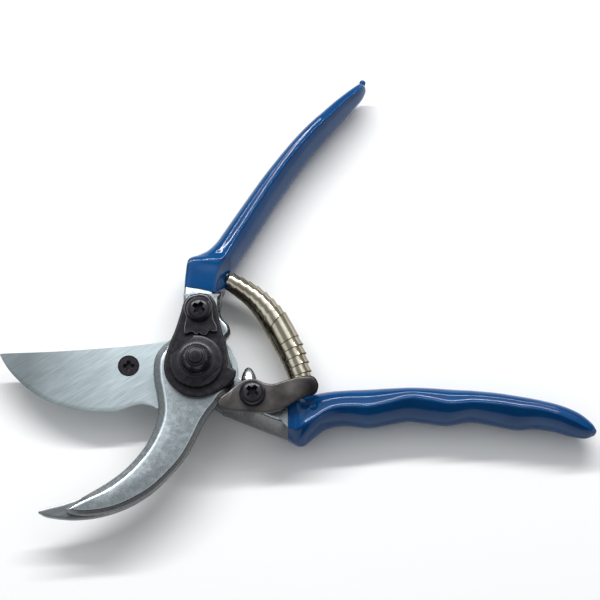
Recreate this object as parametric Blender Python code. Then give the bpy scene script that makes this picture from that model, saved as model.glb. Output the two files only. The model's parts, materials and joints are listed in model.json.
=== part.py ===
"""Bypass pruning shears, lying open on their back, as separate pieces.

Frame: the pivot axis is +Z through the origin, which is the centre of the pivot bolt's flat back
face. The blade points along -X and the lower handle along +X. +Z is the front, the nut's side.
The hook, the upper handle and the pivot bolt stand still. The blade, the lower handle and the
catch turn about +Z, and the shears close by 48 degrees.

Sizes are in millimetres, and MM turns them into Blender's metres.
"""

import math

import bmesh
import bpy
import numpy as np
from mathutils import Vector

MM = 0.001
GAP = 0.3  # between pieces that rest on each other
FIT = 0.1  # radial clearance of a turning fit

# Levels of the stack on the pivot, from the back (z = 0) to the front.
HEAD_TOP = 2.0
WASHER_TOP = HEAD_TOP + GAP + 0.6
LOWER_PLATE_Z = (WASHER_TOP + GAP, 7.4)
BLADE_Z = (LOWER_PLATE_Z[1] + GAP, 10.5)
COUNTER_BLADE_Z = (BLADE_Z[1] + GAP, 13.2)
UPPER_PLATE_Z = (COUNTER_BLADE_Z[1] + GAP, 18.6)
COVER_Z = (UPPER_PLATE_Z[1] + GAP, 21.3)
LOCK_PLATE_Z = (COVER_Z[1] + GAP, 23.2)
NUT_FLANGE_TOP = 23.6
NUT_TOP = 30.2
CATCH_Z = (19.0, 21.1)
LUG_TOP = 18.4  # front of the lower handle's lug, under the catch
MID_Z = 8.6  # height of the spring and its pins

# Turning centres and screw places, in plan.
CATCH_AXIS = (19.6, -11.2)
LOCK_SCREW_AT = (0.8, 18.4)
BLADE_SCREW_AT = (-24.4, 1.4)
COUNTER_SCREWS_AT = ((-10.5, -31.0), (-28.5, -46.4))

# Radii about the pivot.
BOLT_R = 4.2
BOLT_HEAD_R = 8.0
THREAD_R = 2.5
BUSH_R = 6.0
LOWER_DISC_R = 14.2
BLADE_HEEL_R = 13.8
NECK_ARC_R = 15.3  # the thick lower neck stays outside this circle
UPPER_EYE_R = 14.5
NUT_R = 9.1
NUT_TEETH = 30
NUT_TOOTH = 0.3
NUT_FLAT = 7.0  # axis to spanner flat
NUT_FLAT_ANGLE = 36.0

# Screws.
SCREW_HEAD_R = 4.35
SCREW_SHANK_R = 2.5
BLADE_SCREW_HEAD_R = 3.5
BLADE_SCREW_SHANK_R = 2.0
COUNTER_SCREW_HEAD_R = 2.6
COUNTER_SCREW_SHANK_R = 1.4

COAT = 1.3  # thickness of the dipped grip
TANG = COAT + GAP  # how far the handle's tang lies inside the grip's surface

SIDES = 24  # sides of a round part
BLADE_GRIND = 5.5  # width of the bevel ground on the blade's back

ALUMINIUM = ("aluminium", (0.62, 0.65, 0.66), 0.32, 1.0)
BLADE_STEEL = ("blade_steel", (0.55, 0.60, 0.63), 0.30, 1.0)
HOOK_STEEL = ("hook_steel", (0.30, 0.31, 0.32), 0.40, 1.0)
SPRING_STEEL = ("spring_steel", (0.72, 0.67, 0.52), 0.18, 1.0)
BLACK_STEEL = ("black_steel", (0.02, 0.02, 0.025), 0.45, 0.0)
CATCH_STEEL = ("catch_steel", (0.12, 0.10, 0.09), 0.35, 1.0)
BRONZE = ("bronze", (0.55, 0.38, 0.16), 0.35, 1.0)
VINYL = ("blue_vinyl", (0.0, 0.10, 0.27), 0.25, 0.0)


# ---- outlines ----


def spline(points, per):
    """A Catmull-Rom curve through the points, with per steps to each span."""
    p = [np.array(q, float) for q in points]
    p = [2 * p[0] - p[1], *p, 2 * p[-1] - p[-2]]
    found = []
    for a, b, c, d in zip(p, p[1:], p[2:], p[3:]):
        for k in range(per):
            t = k / per
            found.append(
                0.5
                * (
                    2 * b
                    + (c - a) * t
                    + (2 * a - 5 * b + 4 * c - d) * t**2
                    + (3 * b - a - 3 * c + d) * t**3
                )
            )
    return found + [p[-2]]


def arc(radius, start, end, steps, centre=(0, 0)):
    """Points on a circle from one angle to another, in degrees."""
    angles = np.radians(np.linspace(start, end, steps + 1))
    return [np.array(centre) + radius * np.array((math.cos(a), math.sin(a))) for a in angles]


def closed(*runs):
    """Joins runs of points into one closed outline, anticlockwise, dropping points that repeat."""
    points = [np.array(q, float) for run in runs for q in run]
    kept = [q for q, before in zip(points, [points[-1], *points]) if np.linalg.norm(q - before) > 0.05]
    area = sum(a[0] * b[1] - b[0] * a[1] for a, b in zip(kept, kept[1:] + kept[:1]))
    return np.array(kept if area > 0 else kept[::-1])


def distance_to(outline, point):
    """How far a point lies from the outline's nearest edge."""
    start, edge = outline, np.roll(outline, -1, 0) - outline
    along = np.clip(((point - start) * edge).sum(1) / (edge**2).sum(1), 0, 1)
    return np.linalg.norm(start + edge * along[:, None] - point, axis=1).min()


def inset(outline, depth):
    """The outline moved inwards by depth(point), and never past four fifths of the way to the middle."""
    edge = np.roll(outline, -1, 0) - np.roll(outline, 1, 0)
    inward = np.stack([-edge[:, 1], edge[:, 0]], 1) / np.linalg.norm(edge, axis=1)[:, None]
    moved = []
    for point, normal in zip(outline, inward):
        low, high = 0.0, depth(point) / 0.8
        for _ in range(18):
            middle = (low + high) / 2
            free = distance_to(outline, point + normal * middle) > 0.97 * middle - 0.01
            low, high = (middle, high) if free else (low, middle)
        moved.append(point + normal * 0.8 * low)
    return np.array(moved)


def mix(low, high, value, start, end):
    """Moves smoothly from low to high as value goes from start to end."""
    t = min(1.0, max(0.0, (value - start) / (end - start)))
    return low + (high - low) * t * t * (3 - 2 * t)


# ---- solids ----


def material(spec):
    name, colour, roughness, metallic = spec
    found = bpy.data.materials.get(name)
    if found is None:
        found = bpy.data.materials.new(name)
        found.use_nodes = True
        shader = found.node_tree.nodes["Principled BSDF"]
        shader.inputs["Base Color"].default_value = (*colour, 1.0)
        shader.inputs["Roughness"].default_value = roughness
        shader.inputs["Metallic"].default_value = metallic
    return found


def make(name, bm, spec, at=(0, 0, 0), axis=(0, 0, 1)):
    """An object from a bmesh in millimetres, whose own +Z is turned to axis and moved to at."""
    bmesh.ops.recalc_face_normals(bm, faces=bm.faces)
    bmesh.ops.scale(bm, vec=(MM, MM, MM), verts=bm.verts)
    mesh = bpy.data.meshes.new(name)
    bm.to_mesh(mesh)
    bm.free()
    mesh.shade_smooth()
    mesh.set_sharp_from_angle(angle=math.radians(32))
    obj = bpy.data.objects.new(name, mesh)
    bpy.context.scene.collection.objects.link(obj)
    obj.location = Vector(at) * MM
    obj.rotation_euler = Vector((0, 0, 1)).rotation_difference(Vector(axis)).to_euler()
    if spec is None:
        obj.hide_render = True
        obj.display_type = "WIRE"
    else:
        mesh.materials.append(material(spec))
    return obj


def skin(bm, rings, loop=False):
    """Quads between rings of points, with a face over each end unless the rings close in a loop."""
    rows = [[bm.verts.new(p) for p in ring] for ring in rings]
    for a, b in zip(rows, rows[1:] + (rows[:1] if loop else [])):
        for i in range(len(a)):
            j = (i + 1) % len(a)
            bm.faces.new((a[i], a[j], b[j], b[i]))
    if not loop:
        bm.faces.new(rows[0][::-1])
        bm.faces.new(rows[-1])
    return rows


def level(outline, z):
    return [(x, y, z) for x, y in outline]


def plate(name, outline, levels, spec):
    """A plate with rounded edges. levels is a list of (z, depth), where depth is how far the edge is
    drawn in at that height: a number, or a function of the point."""
    bm = bmesh.new()
    rings = []
    for z, depth in levels:
        drawn = depth if callable(depth) else (lambda point, depth=depth: depth)
        rings.append(level(outline if depth == 0 else inset(outline, drawn), z))
    skin(bm, rings)
    return make(name, bm, spec)


def circle(radius, z, sides=SIDES):
    return [(x, y, z) for x, y in arc(radius, 0, 360 - 360 / sides, sides - 1)]


def turned(name, profile, spec, at=(0, 0, 0), axis=(0, 0, 1), sides=SIDES, hollow=False):
    """A turned part. The profile is (radius, height) from the bottom up. A hollow one's profile runs
    once round its wall."""
    bm = bmesh.new()
    skin(bm, [circle(r, z, sides) for r, z in profile], loop=hollow)
    return make(name, bm, spec, at, axis)


def cylinder(name, radius, low, high, at=(0, 0), sides=SIDES):
    return turned(name, [(radius, low), (radius, high)], None, (*at, 0), sides=sides)


def boolean(obj, other, operation):
    modifier = obj.modifiers.new(other.name, "BOOLEAN")
    modifier.object = other
    modifier.operation = operation
    return obj


def cut(obj, *cutters):
    for cutter in cutters:
        boolean(obj, cutter, "DIFFERENCE")
    return obj


def join(obj, *others):
    for other in others:
        boolean(obj, other, "UNION")
    return obj


def cross_recess(name, at, top, span, depth):
    """The cutter of a cross recess: a tapered plus sign whose arms are span across."""
    def plus(half, width, z):
        corners = []
        for quarter in range(4):
            turn = math.radians(90 * quarter)
            for x, y in ((half, -width), (half, width), (width, width)):
                corners.append(
                    (x * math.cos(turn) - y * math.sin(turn), x * math.sin(turn) + y * math.cos(turn), z)
                )
        return corners

    bm = bmesh.new()
    half = span / 2
    skin(bm, [plus(half * 0.45, half * 0.16, top - depth), plus(half, half * 0.24, top + 0.5)])
    return make(name, bm, None, (*at, 0))


# ---- handles ----

# Each station is the two edges of the handle seen from the front, and its back and front heights.
UPPER_NECK = [
    ((-5.3, 15.3), (8.3, 15.9), 4.5, 18.6),
    ((-5.1, 19.0), (7.6, 18.6), 3.0, 18.6),
    ((-5.0, 24.0), (7.8, 22.6), 2.0, 18.6),
    ((-4.8, 28.4), (8.3, 26.5), 1.5, 18.1),
]
UPPER_GRIP = [
    ((-4.9, 28.9), (8.7, 27.0), 0.8, 18.7),
    ((-4.5, 33.5), (8.9, 33.0), 0.5, 18.6),
    ((-3.7, 38.5), (11.6, 36.6), 0.3, 18.2),
    ((-1.8, 41.7), (13.2, 39.1), 0.1, 17.8),
    ((1.7, 43.2), (14.8, 41.6), 0.0, 17.4),
    ((5.1, 46.3), (16.7, 44.6), 0.0, 17.0),
    ((8.2, 50.7), (18.8, 48.0), 0.0, 16.7),
    ((11.4, 55.6), (20.9, 51.5), 0.0, 16.6),
    ((16.6, 63.4), (25.4, 59.1), 0.0, 16.6),
    ((21.9, 71.2), (30.3, 66.9), 0.0, 16.6),
    ((27.1, 78.2), (35.4, 74.5), 0.0, 16.6),
    ((32.5, 85.0), (40.6, 81.7), 0.0, 16.6),
    ((37.8, 91.0), (45.8, 88.0), 0.1, 16.4),
    ((43.2, 96.1), (50.6, 93.6), 0.5, 15.9),
    ((48.5, 101.0), (55.0, 98.8), 1.3, 15.0),
    ((53.7, 105.4), (58.7, 102.9), 2.6, 13.6),
    ((56.8, 107.8), (60.1, 105.5), 4.4, 11.9),
    ((58.0, 108.2), (60.1, 107.0), 6.3, 10.2),
]
UPPER_TANG_STATIONS = slice(0, 15)
LOWER_NECK = [
    ((22.0, -8.4), (21.2, -20.0), 2.6, 17.0),
    ((26.5, -10.2), (26.0, -22.0), 2.2, 16.6),
    ((31.7, -12.6), (31.6, -24.1), 1.7, 15.6),
]
LOWER_GRIP = [
    ((32.3, -11.9), (32.3, -24.9), 0.9, 16.2),
    ((35.0, -10.6), (34.6, -26.4), 0.5, 16.3),
    ((38.0, -9.2), (37.4, -26.7), 0.2, 16.4),
    ((41.6, -8.2), (40.9, -24.0), 0.1, 16.5),
    ((45.2, -7.6), (44.4, -21.2), 0.0, 16.6),
    ((49.2, -7.2), (48.6, -19.7), 0.0, 16.6),
    ((54.0, -6.9), (53.6, -19.5), 0.0, 16.6),
    ((60.6, -6.6), (60.3, -20.2), 0.0, 16.6),
    ((67.6, -6.3), (67.2, -19.0), 0.0, 16.6),
    ((74.6, -6.2), (74.2, -17.8), 0.0, 16.6),
    ((81.6, -6.3), (81.0, -18.5), 0.0, 16.6),
    ((88.7, -6.7), (88.0, -19.3), 0.0, 16.6),
    ((97.1, -7.3), (96.3, -18.1), 0.0, 16.6),
    ((105.2, -8.1), (104.3, -19.3), 0.0, 16.6),
    ((113.6, -9.4), (112.3, -20.8), 0.1, 16.4),
    ((120.8, -10.8), (118.6, -20.5), 0.3, 16.1),
    ((127.8, -12.6), (125.0, -21.4), 0.8, 15.6),
    ((134.2, -15.3), (131.2, -23.2), 1.9, 14.4),
    ((138.6, -18.9), (136.2, -24.1), 3.9, 12.4),
    ((140.2, -21.4), (139.0, -23.4), 6.3, 10.2),
]
LOWER_TANG_STATIONS = slice(0, 18)
GRIP_SIDES = 12
NECK_SQUARENESS = 4.5
GRIP_SQUARENESS = 2.3


def section(station, squareness, drawn_in=0.0):
    """A ring across the handle: a rounded rectangle or oval, drawn in all round by drawn_in."""
    a, b = np.array(station[0]), np.array(station[1])
    middle, half = (a + b) / 2, (a - b) / 2
    half = half * (1 - drawn_in / np.linalg.norm(half))
    centre_z, half_z = (station[2] + station[3]) / 2, (station[3] - station[2]) / 2 - drawn_in
    ring = []
    for k in range(GRIP_SIDES):
        turn = math.radians(360 * (k + 0.5) / GRIP_SIDES)
        c, s = math.cos(turn), math.sin(turn)
        across = math.copysign(abs(c) ** (2 / squareness), c)
        up = math.copysign(abs(s) ** (2 / squareness), s)
        x, y = middle + half * across
        ring.append((x, y, centre_z + half_z * up))
    return ring


def shortened(station, other, share):
    """A station moved by a share of the way towards another."""
    return tuple(
        tuple(np.array(p) + share * (np.array(q) - np.array(p)))
        if isinstance(p, tuple)
        else p + share * (q - p)
        for p, q in zip(station, other)
    )


def handle_core(name, neck, grip, tang_stations):
    """The neck and the tang inside the grip, as one lofted helper."""
    start = shortened(grip[0], neck[-1], 0.4)
    rings = [section(s, NECK_SQUARENESS) for s in neck]
    rings.append(section(start, GRIP_SQUARENESS + 1, TANG))
    rings += [section(s, GRIP_SQUARENESS, TANG) for s in grip[tang_stations][1:]]
    bm = bmesh.new()
    skin(bm, rings)
    return make(name, bm, None)


def sleeve(name, grip, tang_stations):
    """The dipped grip: a closed-ended sleeve with the tang's shape inside."""
    bm = bmesh.new()
    outer = [section(s, GRIP_SQUARENESS) for s in grip]
    reach = grip[tang_stations]
    inner = [section(grip[0], GRIP_SQUARENESS + 1, COAT)]
    inner += [section(s, GRIP_SQUARENESS, COAT) for s in reach[1:]]
    inner.append(section(shortened(reach[-1], grip[tang_stations.stop], 0.5), GRIP_SQUARENESS, COAT))
    skin(bm, inner[::-1] + outer)
    return make(name, bm, VINYL)


# ---- the still side: hook, upper handle, pivot ----


def hook_bevel(depth):
    """A bevel that is wide along the hook and narrow under the cover plate."""
    return lambda point: mix(depth, 0.3 * depth, point[1], -2.0, 9.0)


def upper_handle():
    """The forged aluminium hook, pivot eye, neck and tang."""
    inner_edge = [
        (-5.0, 25.5), (-5.1, 21.0), (-5.7, 16.5), (-6.9, 12.6), (-9.3, 9.3), (-12.4, 6.6), (-14.5, 3.2),
        (-15.1, -0.6), (-14.7, -5.6), (-13.8, -10.0), (-13.1, -15.0), (-13.4, -18.9), (-14.8, -23.4),
        (-17.4, -28.7), (-21.0, -33.6), (-25.3, -38.0), (-30.6, -42.0), (-36.0, -45.3), (-41.0, -48.4),
        (-44.0, -50.6), (-44.3, -51.8), (-42.9, -52.6),
    ]  # fmt: skip
    outer_edge = [
        (-42.9, -52.6), (-38.5, -53.1), (-33.5, -52.7), (-27.9, -51.5), (-21.6, -48.9), (-14.9, -44.8),
        (-9.7, -40.0), (-4.5, -34.0), (-0.8, -27.6), (2.2, -21.2), (4.7, -17.1), (6.9, -14.4), (8.6, -11.7),
    ]  # fmt: skip
    stop_side = [
        (11.4, 2.5), (10.4, 7.0), (10.2, 9.4), (11.3, 11.0), (11.6, 12.8), (10.7, 15.0), (8.8, 17.0),
        (7.8, 20.5), (7.9, 25.5),
    ]  # fmt: skip
    eye = arc(UPPER_EYE_R, -52, -25, 4)
    outline = closed(
        spline(inner_edge, 2), spline(outer_edge, 2), eye, spline([eye[-1], (13.0, -2.5), *stop_side], 2)
    )
    low, high = UPPER_PLATE_Z
    body = plate(
        "upper_handle",
        outline,
        [
            (low, 0),
            (high - 2.6, 0),
            (high - 1.2, hook_bevel(0.6)),
            (high - 0.35, hook_bevel(1.4)),
            (high, hook_bevel(2.3)),
        ],
        ALUMINIUM,
    )
    join(body, handle_core("upper_core", UPPER_NECK, UPPER_GRIP, UPPER_TANG_STATIONS))
    cut(
        body,
        cylinder("upper_eye_cut", BOLT_R + GAP, 0, 22),
        cylinder("lock_screw_thread_cut", SCREW_SHANK_R + GAP, 8.5, 20, LOCK_SCREW_AT, 20),
        *[
            cylinder(f"counter_thread_cut_{k}", COUNTER_SCREW_SHANK_R + GAP, low - 2, 17.0, at, 12)
            for k, at in enumerate(COUNTER_SCREWS_AT)
        ],
        pin_bore("upper_pin_tang_cut", UPPER_SEAT),
    )
    return body


def counter_blade():
    """The steel counter blade under the hook, with an eye round the pivot bolt."""
    inner_edge = [
        (-11.6, 3.5), (-14.6, 2.0), (-15.4, -0.8), (-15.0, -5.6), (-14.1, -10.0), (-13.4, -15.2),
        (-13.8, -18.8), (-15.2, -23.2), (-17.8, -28.7), (-21.4, -33.6), (-25.6, -37.8), (-30.9, -41.6),
        (-36.1, -44.6), (-41.3, -47.0), (-46.5, -48.7), (-51.6, -50.0), (-53.9, -50.8), (-54.3, -51.6),
    ]  # fmt: skip
    outer_edge = [
        (-54.3, -51.6), (-51.6, -52.9), (-46.4, -53.7), (-41.1, -53.9), (-34.4, -53.2), (-27.7, -51.4),
        (-21.3, -48.6), (-15.0, -44.4), (-10.0, -39.6), (-5.0, -33.6), (-1.4, -27.2), (1.6, -20.8),
        (3.6, -15.6), (4.3, -11.6),
    ]  # fmt: skip
    outline = closed(spline(inner_edge, 2), spline(outer_edge, 2), arc(12.3, -69.5, 163, 18))
    low, high = COUNTER_BLADE_Z
    body = plate("counter_blade", outline, [(low, 0), (high - 0.7, 0), (high, 0.6)], HOOK_STEEL)
    cut(body, cylinder("counter_eye_cut", BOLT_R + GAP, 0, 22))
    for k, at in enumerate(COUNTER_SCREWS_AT):
        wall = [
            (COUNTER_SCREW_HEAD_R + GAP, low - 1),
            (COUNTER_SCREW_HEAD_R + GAP, low + 0.2),
            (COUNTER_SCREW_SHANK_R + GAP, low + 1.4),
            (COUNTER_SCREW_SHANK_R + GAP, high + 1),
        ]
        cut(body, turned(f"countersink_{k}", wall, None, (*at, 0), sides=20))
    return body


def counter_blade_screws():
    """Countersunk screws that hold the counter blade to the hook, flush with its sliding face."""
    low = COUNTER_BLADE_Z[0]
    for k, at in enumerate(COUNTER_SCREWS_AT):
        profile = [
            (COUNTER_SCREW_HEAD_R, low + 0.05),
            (COUNTER_SCREW_HEAD_R, low + 0.3),
            (COUNTER_SCREW_SHANK_R, low + 1.5),
            (COUNTER_SCREW_SHANK_R, 16.5),
        ]
        screw = turned(f"counter_blade_screw_{k + 1}", profile, BLACK_STEEL, (*at, 0), sides=20)
        slot = cross_recess(f"counter_recess_{k}", at, -low, 2.6, 0.8)
        slot.rotation_euler = (math.pi, 0, 0)
        cut(screw, slot)


def cover_plate():
    """The black plate under the nut. Its edge is a cam that the catch's nose passes, ending in a step
    that the nose locks behind when the shears are closed."""
    left_side = [
        (0.8, 25.3), (-2.7, 24.3), (-4.8, 21.6), (-5.6, 18.6), (-6.4, 15.8), (-7.7, 11.6), (-9.2, 7.8),
        (-10.6, 3.6),
    ]  # fmt: skip
    under_side = [
        (-10.6, 3.6), (-11.3, 0.2), (-11.2, -3.2), (-10.1, -6.2), (-7.8, -9.1), (-4.2, -11.7),
        (0.4, -12.6), (4.6, -12.0), (7.9, -10.2), (10.6, -8.6), (12.9, -6.2), (13.8, -4.4),
    ]  # fmt: skip
    step = [(13.8, -4.4), (13.9, -3.1), (13.5, -2.6)]
    right_side = [
        (11.3, -1.1), (10.9, 1.4), (10.4, 5.1), (9.8, 8.0), (8.7, 12.3), (7.9, 15.6), (7.1, 19.4),
        (6.2, 22.4), (4.1, 24.6), (0.8, 25.3),
    ]  # fmt: skip
    outline = closed(spline(left_side, 2), spline(under_side, 2), spline(step, 2), spline(right_side, 2))
    low, high = COVER_Z
    steps = [(low, 0), (high - 0.8, 0), (high - 0.2, 0.3), (high, 0.8)]
    body = plate("cover_plate", outline, steps, BLACK_STEEL)
    return cut(
        body,
        cylinder("cover_eye_cut", BOLT_R + GAP, 0, 30),
        cylinder("cover_screw_cut", SCREW_SHANK_R + GAP, 0, 30, LOCK_SCREW_AT, 20),
    )


def nut_rim(angle):
    """Radius of the nut's toothed rim at an angle in degrees."""
    return NUT_R + NUT_TOOTH * math.cos(math.radians(NUT_TEETH * angle))


def lock_plate():
    """The plate whose teeth sit in the nut's rim and stop it turning."""
    left_side = [
        (0.9, 24.2), (-2.6, 23.0), (-4.3, 20.6), (-4.5, 18.2), (-3.7, 16.0), (-4.1, 13.4), (-4.3, 11.4),
        (-4.1, 9.8),
    ]  # fmt: skip
    right_side = [(7.1, 10.7), (7.0, 12.5), (5.9, 14.9), (5.5, 18.2), (5.2, 20.8), (3.6, 23.3), (0.9, 24.2)]
    teeth = [
        (nut_rim(a) + 0.35) * np.array((math.cos(math.radians(a)), math.sin(math.radians(a))))
        for a in np.arange(99, 68, -1.5)
    ]
    outline = closed(spline(left_side, 2), [(-1.9, 10.5)], teeth, [(4.6, 11.1)], spline(right_side, 2))
    low, high = LOCK_PLATE_Z
    body = plate("lock_plate", outline, [(low, 0), (high - 0.3, 0), (high, 0.3)], BLACK_STEEL)
    return cut(body, cylinder("lock_hole_cut", SCREW_SHANK_R + GAP, 0, 30, LOCK_SCREW_AT, 20))


def pivot_nut():
    """The pivot nut: a toothed flange, a cone with two spanner flats and a domed hub."""
    bm = bmesh.new()
    low = LOCK_PLATE_Z[0]
    sides = 2 * NUT_TEETH
    rim = [
        (nut_rim(a) * math.cos(math.radians(a)), nut_rim(a) * math.sin(math.radians(a)))
        for a in np.arange(0, 360, 360 / sides)
    ]
    rings = [level(rim, low), level(rim, NUT_FLANGE_TOP - 0.5)]
    profile = [(8.5, NUT_FLANGE_TOP), (7.0, 24.4), (5.7, 25.4), (5.1, 27.6), (4.4, 29.1), (3.0, NUT_TOP)]
    rings += [circle(r, z, sides) for r, z in profile]
    skin(bm, rings)
    nut = make("pivot_nut", bm, BLACK_STEEL)
    for k in range(2):
        bm = bmesh.new()
        bmesh.ops.create_cube(bm, size=1)
        bmesh.ops.scale(bm, vec=(24, 6, 3), verts=bm.verts)
        bmesh.ops.translate(bm, vec=(0, NUT_FLAT + 3, NUT_FLANGE_TOP + 1.6), verts=bm.verts)
        side = make(f"nut_flat_cut_{k}", bm, None)
        side.rotation_euler = (0, 0, math.radians(NUT_FLAT_ANGLE + 180 * k))
        cut(nut, side)
    return cut(nut, cylinder("nut_bore_cut", THREAD_R + FIT, 0, 40, sides=24))


def pivot_bolt():
    """The pivot bolt: a flat head at the back, a bearing shank and a thinner threaded end."""
    shank_end = UPPER_PLATE_Z[1] + 1.5
    profile = [
        (BOLT_HEAD_R - 0.6, 0), (BOLT_HEAD_R, 0.6), (BOLT_HEAD_R, HEAD_TOP), (BOLT_R, HEAD_TOP),
        (BOLT_R, shank_end),
        (THREAD_R, shank_end + 0.6), (THREAD_R, NUT_TOP + 0.2), (THREAD_R - 0.6, NUT_TOP + 0.7),
    ]  # fmt: skip
    return turned("pivot_bolt", profile, BLACK_STEEL)


def head_washer():
    low = HEAD_TOP + GAP
    bore_r, rim_r = BOLT_R + GAP, BOLT_HEAD_R - 0.2
    profile = [(bore_r, low), (rim_r, low), (rim_r, WASHER_TOP), (bore_r, WASHER_TOP)]
    return turned("head_washer", profile, BRONZE, hollow=True)


def pan_screw(name, at, head_low, shank_low, spec):
    """A pan-head screw with a cross recess."""
    r, top = SCREW_HEAD_R, head_low + 2.8
    profile = [
        (SCREW_SHANK_R - 0.5, shank_low), (SCREW_SHANK_R, shank_low + 0.5), (SCREW_SHANK_R, head_low),
        (r, head_low),
        (r, head_low + 0.9), (r - 0.5, head_low + 1.9), (r - 1.6, head_low + 2.6), (r - 3.0, top),
    ]  # fmt: skip
    screw = turned(name, profile, spec, (*at, 0), sides=24)
    return cut(screw, cross_recess(f"{name}_recess", at, top, 4.9, 1.9))


# ---- spring seats and the spring ----

UPPER_SEAT = ((9.7, 33.75), (0.857, -0.515))  # where the pin leaves the grip, and which way
LOWER_SEAT = ((37.75, -8.6), (-0.30, 0.954))
PIN_R = 1.8
PIN_COLLAR_R = 3.2


def pin_bore(name, seat):
    """The cutter of a spring pin's hole through the grip and into the tang."""
    (x, y), (dx, dy) = seat
    return turned(
        name, [(PIN_R + GAP, -5.4), (PIN_R + GAP, 6)], None, (x, y, MID_Z), (dx, dy, 0), sides=16
    )


def collar_recess(name, seat):
    """The cutter that makes a flat seat in the grip for the pin's collar."""
    (x, y), (dx, dy) = seat
    return turned(
        name,
        [(PIN_COLLAR_R + GAP, -0.6 - GAP), (PIN_COLLAR_R + GAP, 6)],
        None,
        (x, y, MID_Z),
        (dx, dy, 0),
        sides=24,
    )


def spring_pin(name, seat):
    """A headed pin pressed into the tang. The spring's end sits on its collar."""
    (x, y), (dx, dy) = seat
    profile = [
        (PIN_R, -5.0), (PIN_R, -0.6), (PIN_COLLAR_R, -0.6), (PIN_COLLAR_R, 0.6), (PIN_R, 0.6), (PIN_R, 3.6),
        (PIN_R - 0.8, 4.4),
    ]  # fmt: skip
    return turned(name, profile, BLACK_STEEL, (x, y, MID_Z), (dx, dy, 0), sides=20)


SPRING_ROUTE = [
    (10.6, 33.25), (14.9, 30.5), (20.2, 26.5), (25.0, 21.0), (29.3, 14.2), (32.9, 6.8), (35.6, -0.6),
    (37.45, -7.6),
]  # fmt: skip
STRIP = 0.12  # thickness of the wound strip
STRIP_SIDES = 12
UPPER_TURNS, LOWER_TURNS = 8, 6
UPPER_PITCH, LOWER_PITCH = 3.15, 3.2
UPPER_STEP, LOWER_STEP = 0.24, 0.20  # how much narrower each turn is than the one that covers it
OVERLAP = 1.0
WIDEST_R = 5.0


def volute_spring():
    """One strip wound into a double cone: each turn comes out of the next wider one, and the widest
    turn, in the middle, covers both halves."""
    route = np.array(spline(SPRING_ROUTE, 12))
    run = np.concatenate([[0], np.cumsum(np.linalg.norm(np.diff(route, axis=0), axis=1))])
    total = run[-1]
    direction = np.gradient(route, run, axis=0)
    direction /= np.linalg.norm(direction, axis=1)[:, None]
    middle = (UPPER_PITCH * (UPPER_TURNS - 1), total - LOWER_PITCH * LOWER_TURNS)

    def place(s, angle, radius):
        x, y = (np.interp(s, run, route[:, k]) for k in (0, 1))
        dx, dy = (np.interp(s, run, direction[:, k]) for k in (0, 1))
        across, up = radius * math.cos(angle), radius * math.sin(angle)
        return (x - dy * across, y + dx * across, MID_Z + up)

    def seam(turn):
        """Where one turn stops showing and the next starts, along the spring."""
        past = turn - UPPER_TURNS
        if past < 0:
            return max(0.0, UPPER_PITCH * (turn - 1))
        if past < 1:
            return mix(*middle, past, 0, 1)
        return min(total, middle[1] + LOWER_PITCH * (past - 1))

    rings = []
    for k in range((UPPER_TURNS + 1 + LOWER_TURNS) * STRIP_SIDES + 1):
        turn = k / STRIP_SIDES
        past = turn - UPPER_TURNS
        outer = WIDEST_R + (UPPER_STEP * past if past < 0 else -LOWER_STEP * past)
        inner = outer - STRIP
        start = seam(turn) - mix(0, OVERLAP, past, 0.8, 1)
        end = min(total, seam(turn + 1) + mix(OVERLAP, -0.04, past + 1, 0, 0.2))
        angle = 2 * math.pi * turn
        corners = ((start, inner), (end, inner), (end, outer), (start, outer))
        rings.append([place(s, angle, r) for s, r in corners])
    bm = bmesh.new()
    skin(bm, rings)
    return make("volute_spring", bm, SPRING_STEEL)


# ---- the turning side: blade, lower handle, catch ----


def lower_handle():
    """The forged aluminium blade carrier, pivot disc, neck with the catch's lug, and tang."""
    low, high = LOWER_PLATE_Z
    disc = arc(LOWER_DISC_R, 132, -8, 22)
    shoulder = [(17.6, -4.0), (20.8, -8.0), (19.5, -16.0), (13.5, -16.6), (9.4, -14.9)]
    lower_disc = arc(LOWER_DISC_R, -66, -150, 12)
    arm_end = arc(6.3, 262, 98, 10, (-26.0, 0.7))
    outline = closed(disc, shoulder, lower_disc, [(-18.5, -5.8)], arm_end, [(-18.5, 7.9)])
    body = plate("lower_handle", outline, [(low, 0.6), (low + 0.6, 0), (high, 0)], ALUMINIUM)

    ear = [
        (15.15, -2.3), (16.3, -1.5), (17.8, -1.2), (19.5, -2.1), (21.0, -4.8), (22.4, -7.3), (25.0, -9.1),
        (28.0, -10.6),
    ]  # fmt: skip
    belly = [(28.0, -22.7), (20.0, -19.7), (9.0, -15.3), (8.3, -14.2)]
    neck = closed(arc(NECK_ARC_R, -59, -9, 9), spline(ear, 2), belly)

    def rounding(depth):
        return lambda point: mix(depth, 0.35 * depth, point[1], -15.0, -8.0)

    block = plate(
        "lower_neck_block",
        neck,
        [
            (2.4, 1.5),
            (4.2, 0),
            (11.0, 0),
            (14.5, rounding(1.3)),
            (17.2, rounding(2.6)),
            (LUG_TOP, rounding(4.0)),
        ],
        None,
    )
    join(body, block, handle_core("lower_core", LOWER_NECK, LOWER_GRIP, LOWER_TANG_STATIONS))
    return cut(
        body,
        cylinder("lower_eye_cut", BUSH_R + GAP, 0, 12),
        cylinder("blade_screw_thread_cut", BLADE_SCREW_SHANK_R + GAP, 0, 12, BLADE_SCREW_AT, 20),
        cylinder("catch_thread_cut", SCREW_SHANK_R + GAP, 7.0, 22, CATCH_AXIS, 20),
        pin_bore("lower_pin_tang_cut", LOWER_SEAT),
    )


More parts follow.
